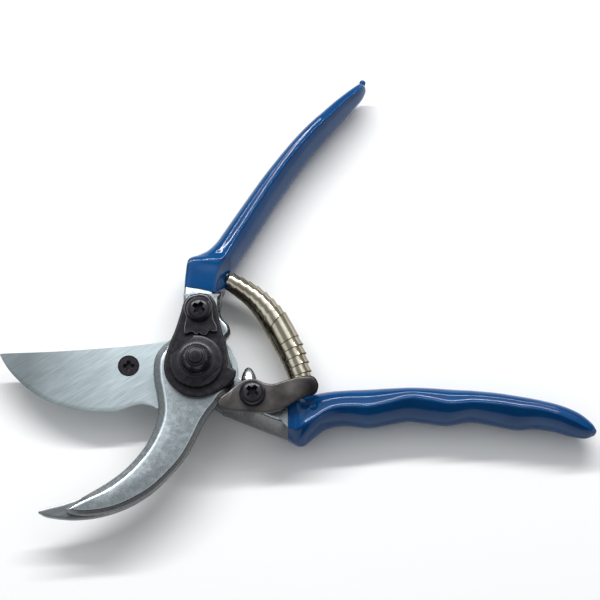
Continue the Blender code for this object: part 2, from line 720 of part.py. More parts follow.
def cutting_blade():
    """The blade: flat at the front, where it slides on the counter blade, and ground at the back."""
    spine = [
        (-70.0, 5.4), (-68.4, 5.9), (-52.3, 6.5), (-34.7, 7.7), (-20.5, 9.0), (-12.5, 10.1), (-8.3, 11.0),
    ]  # fmt: skip
    edge = [
        (-1.2, -13.75), (-6.5, -14.1), (-10.5, -14.3), (-13.9, -14.0), (-15.6, -13.3), (-18.2, -12.6),
        (-20.8, -12.7), (-23.6, -13.4), (-26.6, -14.4), (-30.5, -15.15), (-37.6, -15.1),
        (-43.6, -14.2), (-51.8, -11.7), (-58.9, -7.5), (-64.4, -2.6), (-67.6, 1.3), (-70.0, 5.4),
    ]  # fmt: skip
    outline = closed(spline(spine, 3), arc(BLADE_HEEL_R, 127, -95, 24), spline(edge, 3))
    low, high = BLADE_Z

    def grind(point):
        below_spine = 5.4 + 0.105 * (point[0] + 70.0) - point[1]
        depth = min(BLADE_GRIND, max(0.0, 0.45 * below_spine))
        return 0.25 + mix(depth, 0.0, point[0], -22.0, -13.0)

    body = plate("cutting_blade", outline, [(low, grind), (high, 0)], BLADE_STEEL)
    cut(body, cylinder("blade_eye_cut", BUSH_R + GAP, 0, 12))
    wall = [
        (BLADE_SCREW_SHANK_R + GAP, low - 1),
        (BLADE_SCREW_SHANK_R + GAP, high - 1.9),
        (BLADE_SCREW_HEAD_R + GAP, high - 0.4),
        (BLADE_SCREW_HEAD_R + GAP, high + 1),
    ]
    return cut(body, turned("blade_countersink", wall, None, (*BLADE_SCREW_AT, 0), sides=24))


def blade_screw():
    """The countersunk screw that holds the blade to the carrier, flush with the sliding face."""
    high = BLADE_Z[1]
    profile = [
        (BLADE_SCREW_SHANK_R, LOWER_PLATE_Z[0] + 0.2),
        (BLADE_SCREW_SHANK_R, high - 1.9),
        (BLADE_SCREW_HEAD_R, high - 0.4),
        (BLADE_SCREW_HEAD_R, high),
    ]
    screw = turned("blade_screw", profile, BLACK_STEEL, (*BLADE_SCREW_AT, 0), sides=24)
    return cut(screw, cross_recess("blade_screw_recess", BLADE_SCREW_AT, high, 3.8, 1.3))


def pivot_bushing():
    low, high = LOWER_PLATE_Z[0], BLADE_Z[1] - 0.1
    profile = [(BOLT_R + FIT, low), (BUSH_R, low), (BUSH_R, high), (BOLT_R + FIT, high)]
    return turned("pivot_bushing", profile, BRONZE, hollow=True)


CATCH_HOLE_R = 3.7


def catch_lever():
    """The stamped catch: a nose that locks behind the cover plate's step, and a thumb end bent down."""
    upper_side = [
        (8.1, -12.6), (11.4, -10.2), (14.2, -7.7), (16.6, -6.2), (19.4, -5.8), (21.9, -6.4),
        (24.2, -7.4), (27.0, -7.6), (30.0, -6.7), (34.0, -5.5), (37.8, -4.7), (40.1, -4.7),
        (41.7, -5.9), (42.5, -8.2), (41.8, -10.2), (40.0, -11.3), (35.2, -13.3), (31.2, -15.8),
        (27.2, -17.5), (21.8, -17.9), (12.6, -17.2), (8.0, -15.9),
    ]  # fmt: skip
    outline = closed(spline(upper_side, 2), spline([(8.0, -15.9), (7.6, -14.2), (8.1, -12.6)], 2))
    low, high = CATCH_Z
    steps = [(low, 0.2), (low + 0.3, 0), (high - 0.5, 0), (high, 0.5)]
    body = plate("catch_lever", outline, steps, CATCH_STEEL)
    outer = spline([(40.3, -4.75), (41.7, -5.9), (42.5, -8.2), (41.8, -10.2), (40.2, -11.2)], 2)
    inner = spline([(39.4, -9.6), (40.3, -8.9), (40.7, -8.0), (40.4, -7.0), (39.7, -6.3)], 2)
    lip = plate("catch_lip", closed(outer, inner), [(17.1, 0.3), (17.6, 0.1), (high - 0.9, 0.1)], None)
    join(body, lip)
    return cut(body, cylinder("catch_hole_cut", CATCH_HOLE_R, 0, 30, CATCH_AXIS, 28))


def catch_bushing():
    low, high = LUG_TOP + GAP, CATCH_Z[1] + 0.1
    r = CATCH_HOLE_R - FIT
    profile = [(SCREW_SHANK_R + GAP, low), (r, low), (r, high), (SCREW_SHANK_R + GAP, high)]
    return turned("catch_bushing", profile, BRONZE, (*CATCH_AXIS, 0), sides=24, hollow=True)


def catch_spring_washer():
    low = CATCH_Z[1] + 0.1 + GAP
    profile = [(SCREW_SHANK_R + GAP, low), (4.6, low), (4.6, low + 0.5), (SCREW_SHANK_R + GAP, low + 0.5)]
    return turned("catch_spring_washer", profile, BLACK_STEEL, (*CATCH_AXIS, 0), sides=24, hollow=True)


def upper_grip():
    """The upper grip, with the small drip that the dipping leaves at its end."""
    body = sleeve("upper_grip", UPPER_GRIP, UPPER_TANG_STATIONS)
    drip = turned(
        "drip",
        [(0.5, -2.4), (1.05, -1.2), (1.15, 0.0), (1.2, 0.9), (1.1, 1.5), (0.7, 2.0), (0.25, 2.2)],
        None,
        (58.9, 108.4, 8.3),
        (0.1, 1.0, 0.0),
        sides=12,
    )
    join(body, drip)
    bore = pin_bore("upper_pin_grip_cut", UPPER_SEAT)
    return cut(body, bore, collar_recess("upper_collar_cut", UPPER_SEAT))


def lower_grip():
    body = sleeve("lower_grip", LOWER_GRIP, LOWER_TANG_STATIONS)
    bore = pin_bore("lower_pin_grip_cut", LOWER_SEAT)
    return cut(body, bore, collar_recess("lower_collar_cut", LOWER_SEAT))


def main():
    for obj in list(bpy.data.objects):
        bpy.data.objects.remove(obj, do_unlink=True)
    upper_handle()
    upper_grip()
    counter_blade()
    counter_blade_screws()
    cover_plate()
    lock_plate()
    pivot_nut()
    pivot_bolt()
    head_washer()
    pan_screw("lock_plate_screw", LOCK_SCREW_AT, LOCK_PLATE_Z[1] + GAP, 9.0, BLACK_STEEL)
    spring_pin("upper_spring_pin", UPPER_SEAT)
    volute_spring()
    lower_handle()
    lower_grip()
    cutting_blade()
    blade_screw()
    pivot_bushing()
    catch_lever()
    catch_bushing()
    catch_spring_washer()
    pan_screw("catch_screw", CATCH_AXIS, CATCH_Z[1] + 0.1 + GAP + 0.5 + GAP, 7.5, BLACK_STEEL)
    spring_pin("lower_spring_pin", LOWER_SEAT)


main()
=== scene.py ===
"""The look of the bypass pruning shears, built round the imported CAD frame.

Sizes below are in millimetres in the frame's own axes, and MM turns them into Blender's metres.
Heights and centres come from the CAD nodes, through levels() and centre().
"""

import json
import math

import bmesh
import bpy
import numpy as np
from mathutils import Euler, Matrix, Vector


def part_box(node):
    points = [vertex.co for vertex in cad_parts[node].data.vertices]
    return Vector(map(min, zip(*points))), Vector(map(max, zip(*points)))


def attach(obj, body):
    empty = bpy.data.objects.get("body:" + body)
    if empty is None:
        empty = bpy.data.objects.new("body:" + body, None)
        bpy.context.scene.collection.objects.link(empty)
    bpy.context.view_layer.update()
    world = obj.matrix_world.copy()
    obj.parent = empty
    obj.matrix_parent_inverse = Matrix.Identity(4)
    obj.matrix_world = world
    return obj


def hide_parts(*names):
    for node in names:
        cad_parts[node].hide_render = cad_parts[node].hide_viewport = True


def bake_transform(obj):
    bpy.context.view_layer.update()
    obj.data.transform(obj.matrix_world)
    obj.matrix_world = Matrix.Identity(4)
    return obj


MM = 0.001
# Gap between neighbouring pieces of the CAD.
CLEARANCE = 0.3
# Radii of the holes round the pivot, on the still side and on the turning side.
STILL_HOLE, TURNING_HOLE = 4.5, 6.3
BLADE_SCREW_HOLE, LOCK_SCREW_HOLE, CATCH_HOLE = 2.3, 2.8, 3.7
# Points nearer than this are taken as one.
SAME_POINT = 0.03
INSET_SHARE, INSET_TRIES = 0.8, 14
# Edges that bend by more than this many degrees are drawn sharp. Dipped vinyl is softer.
SHARP_ANGLE, SOFT_ANGLE = 35, 60

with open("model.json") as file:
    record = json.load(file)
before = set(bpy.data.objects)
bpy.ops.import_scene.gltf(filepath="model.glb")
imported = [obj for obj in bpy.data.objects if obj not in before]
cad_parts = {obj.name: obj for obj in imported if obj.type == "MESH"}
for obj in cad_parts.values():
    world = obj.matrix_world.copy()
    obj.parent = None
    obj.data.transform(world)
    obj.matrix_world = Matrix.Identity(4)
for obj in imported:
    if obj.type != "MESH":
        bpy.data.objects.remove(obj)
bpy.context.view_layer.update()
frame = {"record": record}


# ---- places in the frame ----


def levels(node):
    """Lowest and highest z of a CAD node, in millimetres."""
    low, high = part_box(node)
    return low[2] / MM, high[2] / MM


def centre(node):
    """Middle of a CAD node in plan, in millimetres."""
    low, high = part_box(node)
    return ((low[0] + high[0]) / 2 / MM, (low[1] + high[1]) / 2 / MM)


def hinge(name):
    """A joint's axis in plan, in millimetres."""
    joint = next(j for j in frame["record"]["behaviour"]["joints"] if j["name"] == name)
    return joint["pos_m"][0] / MM, joint["pos_m"][1] / MM


# ---- outlines ----


def spline(points, per):
    """A Catmull-Rom curve through the points, with per steps to each span."""
    p = [np.array(q, float) for q in points]
    p = [2 * p[0] - p[1], *p, 2 * p[-1] - p[-2]]
    found = []
    for a, b, c, d in zip(p, p[1:], p[2:], p[3:]):
        for k in range(per):
            t = k / per
            square, cube = 2 * a - 5 * b + 4 * c - d, 3 * b - a - 3 * c + d
            found.append(0.5 * (2 * b + (c - a) * t + square * t**2 + cube * t**3))
    return found + [p[-2]]


def arc(radius, start, end, steps, middle=(0, 0)):
    """Points on a circle from one angle to another, in degrees."""
    angles = np.radians(np.linspace(start, end, steps + 1))
    return [np.array(middle) + radius * np.array((math.cos(a), math.sin(a))) for a in angles]


def closed(*runs):
    """Joins runs of points into one closed outline, anticlockwise, dropping points that repeat."""
    points = [np.array(q, float) for run in runs for q in run]
    steps = zip(points, [points[-1], *points])
    kept = [q for q, before in steps if np.linalg.norm(q - before) > SAME_POINT]
    area = sum(a[0] * b[1] - b[0] * a[1] for a, b in zip(kept, kept[1:] + kept[:1]))
    return np.array(kept if area > 0 else kept[::-1])


def distance_to(outline, point):
    edge = np.roll(outline, -1, 0) - outline
    along = np.clip(((point - outline) * edge).sum(1) / (edge**2).sum(1), 0, 1)
    return np.linalg.norm(outline + edge * along[:, None] - point, axis=1).min()


def inset(outline, depths):
    """The outline moved inwards by each point's depth, but at most INSET_SHARE of the way to its middle."""
    edge = np.roll(outline, -1, 0) - np.roll(outline, 1, 0)
    inward = np.stack([-edge[:, 1], edge[:, 0]], 1) / np.linalg.norm(edge, axis=1)[:, None]
    moved = []
    for point, normal, depth in zip(outline, inward, depths):
        low, high = 0.0, depth / INSET_SHARE
        for _ in range(INSET_TRIES):
            middle = (low + high) / 2
            free = distance_to(outline, point + normal * middle) > 0.97 * middle - 0.01
            low, high = (middle, high) if free else (low, middle)
        moved.append(point + normal * INSET_SHARE * low)
    return np.array(moved)


def mix(low, high, value, start, end):
    """Moves smoothly from low to high as value goes from start to end."""
    t = min(1.0, max(0.0, (value - start) / (end - start)))
    return low + (high - low) * t * t * (3 - 2 * t)


# ---- meshes ----


def skin(bm, rings, loop=False):
    """Quads between rings of points, with a face over each end unless the rings close in a loop."""
    rows = [[bm.verts.new(p) for p in ring] for ring in rings]
    for a, b in zip(rows, rows[1:] + (rows[:1] if loop else [])):
        for i in range(len(a)):
            j = (i + 1) % len(a)
            bm.faces.new((a[i], a[j], b[j], b[i]))
    if not loop:
        bm.faces.new(rows[0][::-1])
        bm.faces.new(rows[-1])


def make(name, bm, at=(0, 0, 0), axis=(0, 0, 1), sharp=SHARP_ANGLE):
    """An object from a bmesh in millimetres, whose own +Z is turned to axis and moved to at."""
    bmesh.ops.recalc_face_normals(bm, faces=bm.faces)
    turn = Vector((0, 0, 1)).rotation_difference(Vector(axis)).to_matrix()
    bmesh.ops.rotate(bm, cent=(0, 0, 0), matrix=turn, verts=bm.verts)
    bmesh.ops.translate(bm, vec=at, verts=bm.verts)
    bmesh.ops.scale(bm, vec=(MM, MM, MM), verts=bm.verts)
    mesh = bpy.data.meshes.new(name)
    bm.to_mesh(mesh)
    bm.free()
    mesh.shade_smooth()
    mesh.set_sharp_from_angle(angle=math.radians(sharp))
    obj = bpy.data.objects.new(name, mesh)
    bpy.context.scene.collection.objects.link(obj)
    return obj


def level(outline, z):
    return [(x, y, z) for x, y in outline]


def plate(name, outline, steps, scale=None):
    """A plate from (z, inset) steps. scale(point), where given, multiplies the insets."""
    factors = np.ones(len(outline)) if scale is None else np.array([scale(p) for p in outline])
    bm = bmesh.new()
    skin(bm, [level(inset(outline, depth * factors) if depth else outline, z) for z, depth in steps])
    return make(name, bm)


def rounded(low, high, under, over):
    """Plate steps with a rounded edge of radius under at the back and over at the front."""
    quarter = [math.radians(a) for a in (0, 18, 36, 54, 72, 90)]
    back = [(low + under * (1 - math.sin(a)), under * (1 - math.cos(a))) for a in quarter[::-1]]
    front = [(high - over * (1 - math.sin(a)), over * (1 - math.cos(a))) for a in quarter]
    return [(low, under + 0.25), *back, *front, (high, over + 0.3)]


def circle(radius, z, sides):
    return [(x, y, z) for x, y in arc(radius, 0, 360 - 360 / sides, sides - 1)]


def turned(name, profile, at=(0, 0, 0), axis=(0, 0, 1), sides=72, hollow=False, sharp=SHARP_ANGLE):
    """A turned part. The profile is (radius, height) from the bottom up, or round a hollow one's wall."""
    bm = bmesh.new()
    skin(bm, [circle(r, z, sides) for r, z in profile], loop=hollow)
    return make(name, bm, at, axis, sharp)


def combine(obj, operation, *others):
    """Joins or cuts an object with helpers, which are then removed."""
    for other in others:
        modifier = obj.modifiers.new("combine", "BOOLEAN")
        modifier.object = other
        modifier.operation = operation
    graph = bpy.context.evaluated_depsgraph_get()
    mesh = bpy.data.meshes.new_from_object(obj.evaluated_get(graph))
    obj.modifiers.clear()
    obj.data = mesh
    mesh.shade_smooth()
    mesh.set_sharp_from_angle(angle=math.radians(SHARP_ANGLE))
    for other in others:
        bpy.data.objects.remove(other, do_unlink=True)
    return obj


def merge(obj, *others):
    """Puts the meshes of others into obj as they are."""
    bm = bmesh.new()
    for part in (obj, *others):
        bm.from_mesh(part.data)
    bm.to_mesh(obj.data)
    bm.free()
    for other in others:
        bpy.data.objects.remove(other, do_unlink=True)
    return obj


def hole(radius, low, high, at=(0, 0)):
    return turned("hole", [(radius, low), (radius, high)], (*at, 0), sides=64)


# ---- materials ----


def new_material(name):
    made = bpy.data.materials.new(name)
    made.use_nodes = True
    return made, made.node_tree.nodes, made.node_tree.links, made.node_tree.nodes["Principled BSDF"]


def position(nodes, links, scale=(1, 1, 1), turn=0.0):
    """Object coordinates, turned in plan and then scaled."""
    coordinates = nodes.new("ShaderNodeTexCoord")
    mapping = nodes.new("ShaderNodeMapping")
    mapping.vector_type = "TEXTURE"
    mapping.inputs["Rotation"].default_value = Euler((0, 0, math.radians(turn)))
    mapping.inputs["Scale"].default_value = [1 / s for s in scale]
    links.new(coordinates.outputs["Object"], mapping.inputs["Vector"])
    return mapping.outputs["Vector"]


def noise(nodes, links, vector, scale, detail=4.0, roughness=0.55):
    texture = nodes.new("ShaderNodeTexNoise")
    texture.inputs["Scale"].default_value = scale
    texture.inputs["Detail"].default_value = detail
    texture.inputs["Roughness"].default_value = roughness
    links.new(vector, texture.inputs["Vector"])
    return texture.outputs["Fac"]


def ramp(nodes, links, value, low, high, start=0.35, end=0.65):
    """A colour between low and high as value goes from start to end."""
    node = nodes.new("ShaderNodeValToRGB")
    node.color_ramp.elements[0].position = start
    node.color_ramp.elements[1].position = end
    node.color_ramp.elements[0].color = (*low, 1)
    node.color_ramp.elements[1].color = (*high, 1)
    links.new(value, node.inputs["Fac"])
    return node.outputs["Color"]


def spread(nodes, links, value, low, high, start=0.35, end=0.65):
    """A number between low and high as value goes from start to end."""
    node = nodes.new("ShaderNodeMapRange")
    node.inputs["From Min"].default_value = start
    node.inputs["From Max"].default_value = end
    node.inputs["To Min"].default_value = low
    node.inputs["To Max"].default_value = high
    links.new(value, node.inputs["Value"])
    return node.outputs["Result"]


def blend_colours(nodes, links, first, second, share, kind="MIX"):
    node = nodes.new("ShaderNodeMix")
    node.data_type = "RGBA"
    node.blend_type = kind
    for value, socket in ((first, node.inputs[6]), (second, node.inputs[7]), (share, node.inputs[0])):
        if isinstance(value, (int, float)):
            socket.default_value = value
        elif isinstance(value, tuple):
            socket.default_value = (*value, 1)
        else:
            links.new(value, socket)
    return node.outputs[2]


def surface(links, shader, colour, roughness, metallic=0.0):
    links.new(colour, shader.inputs["Base Color"])
    links.new(roughness, shader.inputs["Roughness"])
    shader.inputs["Metallic"].default_value = metallic


def bump(nodes, links, shader, height, distance, strength=1.0):
    node = nodes.new("ShaderNodeBump")
    node.inputs["Distance"].default_value = distance
    node.inputs["Strength"].default_value = strength
    links.new(height, node.inputs["Height"])
    links.new(node.outputs["Normal"], shader.inputs["Normal"])


def steep(nodes, links, low, high):
    """0 on faces that look up or down, and 1 on upright sides."""
    geometry = nodes.new("ShaderNodeNewGeometry")
    parts = nodes.new("ShaderNodeSeparateXYZ")
    links.new(geometry.outputs["Normal"], parts.inputs["Vector"])
    size = nodes.new("ShaderNodeMath")
    size.operation = "ABSOLUTE"
    links.new(parts.outputs["Z"], size.inputs[0])
    return spread(nodes, links, size.outputs["Value"], 0.0, 1.0, low, high)


def convex_edges(nodes, links, low, high):
    """1 along convex edges and 0 elsewhere."""
    geometry = nodes.new("ShaderNodeNewGeometry")
    return spread(nodes, links, geometry.outputs["Pointiness"], 0.0, 1.0, low, high)


def aluminium_material():
    """Forged aluminium: its faces lightly polished, with paler smears, and painted shade darkening its
    upright sides.
    """
    made, nodes, links, shader = new_material("aluminium")
    place = position(nodes, links)
    clouds = noise(nodes, links, place, 110, 4)
    smears = noise(nodes, links, place, 620, 6, 0.7)
    base = ramp(nodes, links, clouds, (0.585, 0.66, 0.70), (0.62, 0.695, 0.735))
    paler = spread(nodes, links, smears, 0.0, 0.45, 0.58, 0.74)
    base = blend_colours(nodes, links, base, (0.80, 0.87, 0.90), paler)
    # Painted shade: the colour darkens as a face turns upright, standing in for the shade on the walls.
    sides = blend_colours(nodes, links, base, (0.19, 0.195, 0.20), steep(nodes, links, 0.93, 0.70))
    surface(links, shader, sides, spread(nodes, links, smears, 0.24, 0.36, 0.4, 0.7), 1.0)
    bump(nodes, links, shader, noise(nodes, links, place, 2600, 3), 0.00002, 0.4)
    return made


# X, in metres, where the painted shade on a blade's tip is darkest and where it has faded out to full
# brightness.
TIP_SHADE_FADE = (-0.060, -0.030)


def steel_material(name, dark, light, turn, tone, tip_shade):
    """Ground steel: fine scratches, slow bands down to the given tone, and painted shade that darkens the
    tip to the given tip tone.
    """
    made, nodes, links, shader = new_material(name)
    streaks = noise(nodes, links, position(nodes, links, (120, 3600, 3600), turn), 1.0, 5, 0.65)
    fine = noise(nodes, links, position(nodes, links, (260, 9000, 9000), turn), 1.0, 2)
    broad = noise(nodes, links, position(nodes, links, (22, 62, 62), turn), 1.0, 2)
    base = ramp(nodes, links, streaks, dark, light, 0.25, 0.75)
    shade = ramp(nodes, links, broad, (tone, tone, tone), (1.0, 1.0, 1.0), 0.40, 0.60)
    along = nodes.new("ShaderNodeSeparateXYZ")
    links.new(position(nodes, links), along.inputs["Vector"])
    # Painted shade: the colour darkens towards the tip, along X.
    tip = spread(nodes, links, along.outputs["X"], tip_shade, 1.0, *TIP_SHADE_FADE)
    shade = blend_colours(nodes, links, shade, tip, 1.0, "MULTIPLY")
    colour = blend_colours(nodes, links, base, shade, 1.0, "MULTIPLY")
    surface(links, shader, colour, spread(nodes, links, streaks, 0.30, 0.36), 1.0)
    bump(nodes, links, shader, fine, 0.00001, 0.5)
    return made


def black_material():
    """Black oxide steel, slightly purple, with a satin sheen."""
    made, nodes, links, shader = new_material("black_steel")
    place = position(nodes, links)
    patches = noise(nodes, links, place, 420, 4)
    grain = noise(nodes, links, place, 5200, 2)
    base = ramp(nodes, links, patches, (0.0092, 0.0074, 0.0112), (0.0155, 0.0132, 0.0188))
    surface(links, shader, base, spread(nodes, links, patches, 0.22, 0.32))
    shader.inputs["Specular IOR Level"].default_value = 0.40
    bump(nodes, links, shader, grain, 0.00003, 0.4)
    return made


def bare_edge_material():
    """The thin line on a blackened plate's edge where the steel shows."""
    made, nodes, links, shader = new_material("bare_edge")
    wear = noise(nodes, links, position(nodes, links), 700, 2)
    base = ramp(nodes, links, wear, (0.05, 0.05, 0.055), (0.17, 0.17, 0.18), 0.3, 0.6)
    surface(links, shader, base, spread(nodes, links, wear, 0.30, 0.45), 0.7)
    return made


def catch_material():
    """Burnished dark steel, with painted shade turning the bent thumb end near black."""
    made, nodes, links, shader = new_material("catch_steel")
    place = position(nodes, links)
    clouds = noise(nodes, links, place, 150, 3)
    base = ramp(nodes, links, clouds, (0.075, 0.068, 0.068), (0.125, 0.115, 0.112), 0.32, 0.68)
    along = nodes.new("ShaderNodeSeparateXYZ")
    links.new(place, along.inputs["Vector"])
    # Painted shade: near black past the bend at the thumb end, along X.
    thumb_end_shade = spread(nodes, links, along.outputs["X"], 0.0, 0.92, 0.033, 0.040)
    base = blend_colours(nodes, links, base, (0.018, 0.016, 0.018), thumb_end_shade)
    # Paler along the convex edges.
    paled_edges = blend_colours(nodes, links, base, (0.20, 0.19, 0.19), convex_edges(nodes, links, 0.55, 0.66))
    surface(links, shader, paled_edges, spread(nodes, links, clouds, 0.26, 0.38), 0.9)
    bump(nodes, links, shader, noise(nodes, links, place, 3400, 3), 0.00002, 0.4)
    return made


def spring_material():
    """Bright strip with a golden tint, painted shade darkening its upright sides, and faint rolling lines.
    """
    made, nodes, links, shader = new_material("spring_steel")
    place = position(nodes, links)
    tint = noise(nodes, links, place, 160, 3)
    lines = noise(nodes, links, place, 3000, 3)
    base = ramp(nodes, links, tint, (0.48, 0.43, 0.33), (0.64, 0.60, 0.50))
    # Painted shade: the colour darkens as a face of the strip turns upright.
    sides = blend_colours(nodes, links, base, (0.17, 0.13, 0.07), steep(nodes, links, 0.88, 0.35))
    surface(links, shader, sides, spread(nodes, links, lines, 0.10, 0.18), 1.0)
    bump(nodes, links, shader, lines, 0.00001, 0.3)
    return made


def spring_edge_and_seam_shadow_material():
    """The strip's sheared edge, dark partly in itself and partly as painted shadow along the seams between
    the turns.
    """
    made, nodes, links, shader = new_material("spring_edge_and_seam_shadow")
    patches = noise(nodes, links, position(nodes, links), 900, 3)
    base = ramp(nodes, links, patches, (0.03, 0.025, 0.02), (0.12, 0.10, 0.07))
    surface(links, shader, base, spread(nodes, links, patches, 0.35, 0.55), 0.8)
    return made


def vinyl_material():
    """Glossy dipped vinyl, with the slight waves that a dip leaves."""
    made, nodes, links, shader = new_material("blue_vinyl")
    place = position(nodes, links)
    waves = noise(nodes, links, place, 110, 3)
    grain = noise(nodes, links, place, 1500, 2)
    base = ramp(nodes, links, waves, (0.0, 0.045, 0.160), (0.0, 0.059, 0.198), 0.3, 0.7)
    surface(links, shader, base, spread(nodes, links, grain, 0.07, 0.11))
    shader.inputs["Specular IOR Level"].default_value = 0.25
    bump(nodes, links, shader, waves, 0.00010, 0.4)
    return made


def bronze_material():
    made, nodes, links, shader = new_material("bronze")
    place = position(nodes, links)
    patches = noise(nodes, links, place, 500, 4)
    base = ramp(nodes, links, patches, (0.36, 0.22, 0.09), (0.58, 0.40, 0.18))
    surface(links, shader, base, spread(nodes, links, patches, 0.28, 0.45), 1.0)
    bump(nodes, links, shader, noise(nodes, links, place, 4000, 2), 0.00002, 0.4)
    return made


ALUMINIUM = aluminium_material()
BLADE_STEEL = steel_material("blade_steel", (0.54, 0.65, 0.69), (0.85, 0.96, 1.0), 32, 0.85, 0.42)
HOOK_STEEL = steel_material("hook_steel", (0.22, 0.245, 0.25), (0.36, 0.39, 0.40), 20, 0.88, 0.90)
BLACK_STEEL = black_material()
BARE_EDGE = bare_edge_material()
CATCH_STEEL = catch_material()
SPRING_STEEL = spring_material()
SPRING_EDGE_AND_SEAM_SHADOW = spring_edge_and_seam_shadow_material()
VINYL = vinyl_material()
BRONZE = bronze_material()


def finish_piece(obj, material, body, *nodes):
    """Gives a piece its material and body, and hides the CAD nodes it stands for."""
    obj.data.materials.clear()
    obj.data.materials.append(material)
    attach(obj, body)
    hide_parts(*nodes)
    return obj


# ---- handle sections ----

# A section is twelve points (share of the width from edge a to edge b, share of the height) that a
# smooth closed curve follows. The curve is then stretched to fill the width and the height exactly.
NECK = [
    (0.0, 0.45), (0.0, 0.90), (0.02, 1.0), (0.35, 1.0), (0.74, 1.0), (0.77, 0.985), (0.95, 0.72),
    (1.0, 0.60), (1.0, 0.30), (0.97, 0.0), (0.50, 0.0), (0.03, 0.0),
]
ELBOW = [
    (0.0, 0.45), (0.0, 0.90), (0.03, 1.0), (0.40, 1.0), (0.74, 1.0), (0.79, 0.97), (0.95, 0.66),
    (1.0, 0.54), (1.0, 0.34), (0.93, 0.02), (0.45, 0.0), (0.05, 0.02),
]


def grip_section(ridge):
    """An oval that rises in a gentle slope to a ridge, at a share of its width, and falls off past it."""
    rest = 1 - ridge
    return [
        (0.0, 0.34), (0.02, 0.54), (0.17 * ridge, 0.80), (0.45 * ridge, 0.945), (0.84 * ridge, 0.966),
        (ridge, 1.0), (ridge + 0.16 * rest, 0.95), (ridge + 0.56 * rest, 0.80), (1.0, 0.42), (0.86, 0.08),
        (0.45, 0.0), (0.10, 0.10),
    ]


def smooth_section(points):
    """The points with their corners cut three times, stretched to run from 0 to 1 both ways."""
    ring = np.array(points, float)
    for _ in range(3):
        after = np.roll(ring, -1, 0)
        ring = np.stack([0.75 * ring + 0.25 * after, 0.25 * ring + 0.75 * after], 1).reshape(-1, 2)
    return (ring - ring.min(0)) / (ring.max(0) - ring.min(0))


def handle_rings(stations, per):
    """Rings along a handle. Each station is edge a, edge b, the back and front heights, and its section."""
    rows = [np.array([*a, *b, low, high, *np.ravel(section)]) for a, b, low, high, section in stations]
    rings = []
    for row in spline(rows, per):
        a, b, low, high = row[0:2], row[2:4], row[4], row[5]
        ring = smooth_section(row[6:].reshape(-1, 2))
        rings.append([(*(a + (b - a) * u), low + (high - low) * w) for u, w in ring])
    return rings


def marked(rings, at, along):
    """Raises a thin line across a grip's front, with a slight swelling, where its mould closed."""
    found = []
    for ring in rings:
        row = []
        for x, y, z in ring:
            t = (x - at[0]) * along[0] + (y - at[1]) * along[1]
            rise = 0.12 * math.exp(-((t / 2.2) ** 2)) + 0.16 * math.exp(-((t / 0.45) ** 2))
            row.append((x, y, z + (rise if z > 11 else 0)))
        found.append(row)
    return found


def capped(rings, push):
    """Rings with a rounded end: the last is drawn in twice, and moved on by push along the handle."""
    last, before = np.array(rings[-1]), np.array(rings[-2])
    middle = last.mean(0)
    onward = middle - before.mean(0)
    onward = onward / np.linalg.norm(onward) * push
    steps = ((0.78, 0.55), (0.42, 0.9), (0.12, 1.0))
    shrunk = [middle + (last - middle) * size + onward * along for size, along in steps]
    return rings + [[tuple(p) for p in ring] for ring in shrunk]


# ---- the still side ----

UPPER_NECK = [
    ((-5.3, 13.0), (8.6, 13.8), 4.5, 18.6, NECK),
    ((-5.1, 19.0), (7.6, 18.6), 3.0, 18.6, NECK),
    ((-5.0, 24.0), (7.9, 22.6), 2.0, 18.6, NECK),
    ((-4.75, 28.4), (8.3, 26.5), 1.5, 18.3, NECK),
    ((-4.4, 31.0), (8.3, 29.5), 2.2, 17.6, ELBOW),
]
UPPER_GRIP = [
    ((-4.85, 24.0), (8.9, 24.0), 0.8, 18.8, ELBOW),
    ((-4.85, 28.1), (9.3, 28.0), 0.8, 18.8, ELBOW),
    ((-4.5, 33.5), (9.9, 33.0), 0.5, 18.6, ELBOW),
    ((-3.7, 38.5), (11.6, 36.6), 0.3, 18.2, ELBOW),
    ((-1.8, 41.7), (13.2, 39.1), 0.1, 17.8, grip_section(0.74)),
    ((1.7, 43.2), (14.8, 41.6), 0.0, 17.4, grip_section(0.68)),
    ((5.1, 46.3), (16.7, 44.6), 0.0, 17.0, grip_section(0.62)),
    ((8.2, 50.7), (18.8, 48.0), 0.0, 16.7, grip_section(0.58)),
    ((11.4, 55.6), (20.9, 51.5), 0.0, 16.6, grip_section(0.57)),
    ((16.6, 63.4), (25.4, 59.1), 0.0, 16.6, grip_section(0.56)),
    ((21.9, 71.2), (30.3, 66.9), 0.0, 16.6, grip_section(0.55)),
    ((27.1, 78.2), (35.4, 74.5), 0.0, 16.6, grip_section(0.55)),
    ((32.5, 85.0), (40.6, 81.7), 0.0, 16.6, grip_section(0.56)),
    ((37.8, 91.0), (45.8, 88.0), 0.1, 16.4, grip_section(0.58)),
    ((43.2, 96.1), (50.6, 93.6), 0.5, 15.9, grip_section(0.60)),
    ((48.5, 101.0), (55.0, 98.8), 1.3, 15.0, grip_section(0.60)),
    ((53.7, 105.4), (58.7, 102.9), 2.6, 13.6, grip_section(0.60)),
    ((56.8, 107.8), (60.1, 105.5), 4.4, 11.9, grip_section(0.58)),
    ((58.0, 108.3), (60.2, 107.0), 6.0, 10.5, grip_section(0.55)),
]


def slope_scale(point):
    """The hook's slope is wide on its inner side, and narrow on its outer side, its tip and by the stop."""
    from_middle = math.hypot(point[0] + 45, point[1] + 12)
    side = mix(1.0, 0.55, from_middle, 36.5, 41.0)
    tip = mix(0.45, 1.0, point[0], -43.5, -30.0)
    return mix(min(side, tip), 0.35, point[1], 6.0, 13.0)


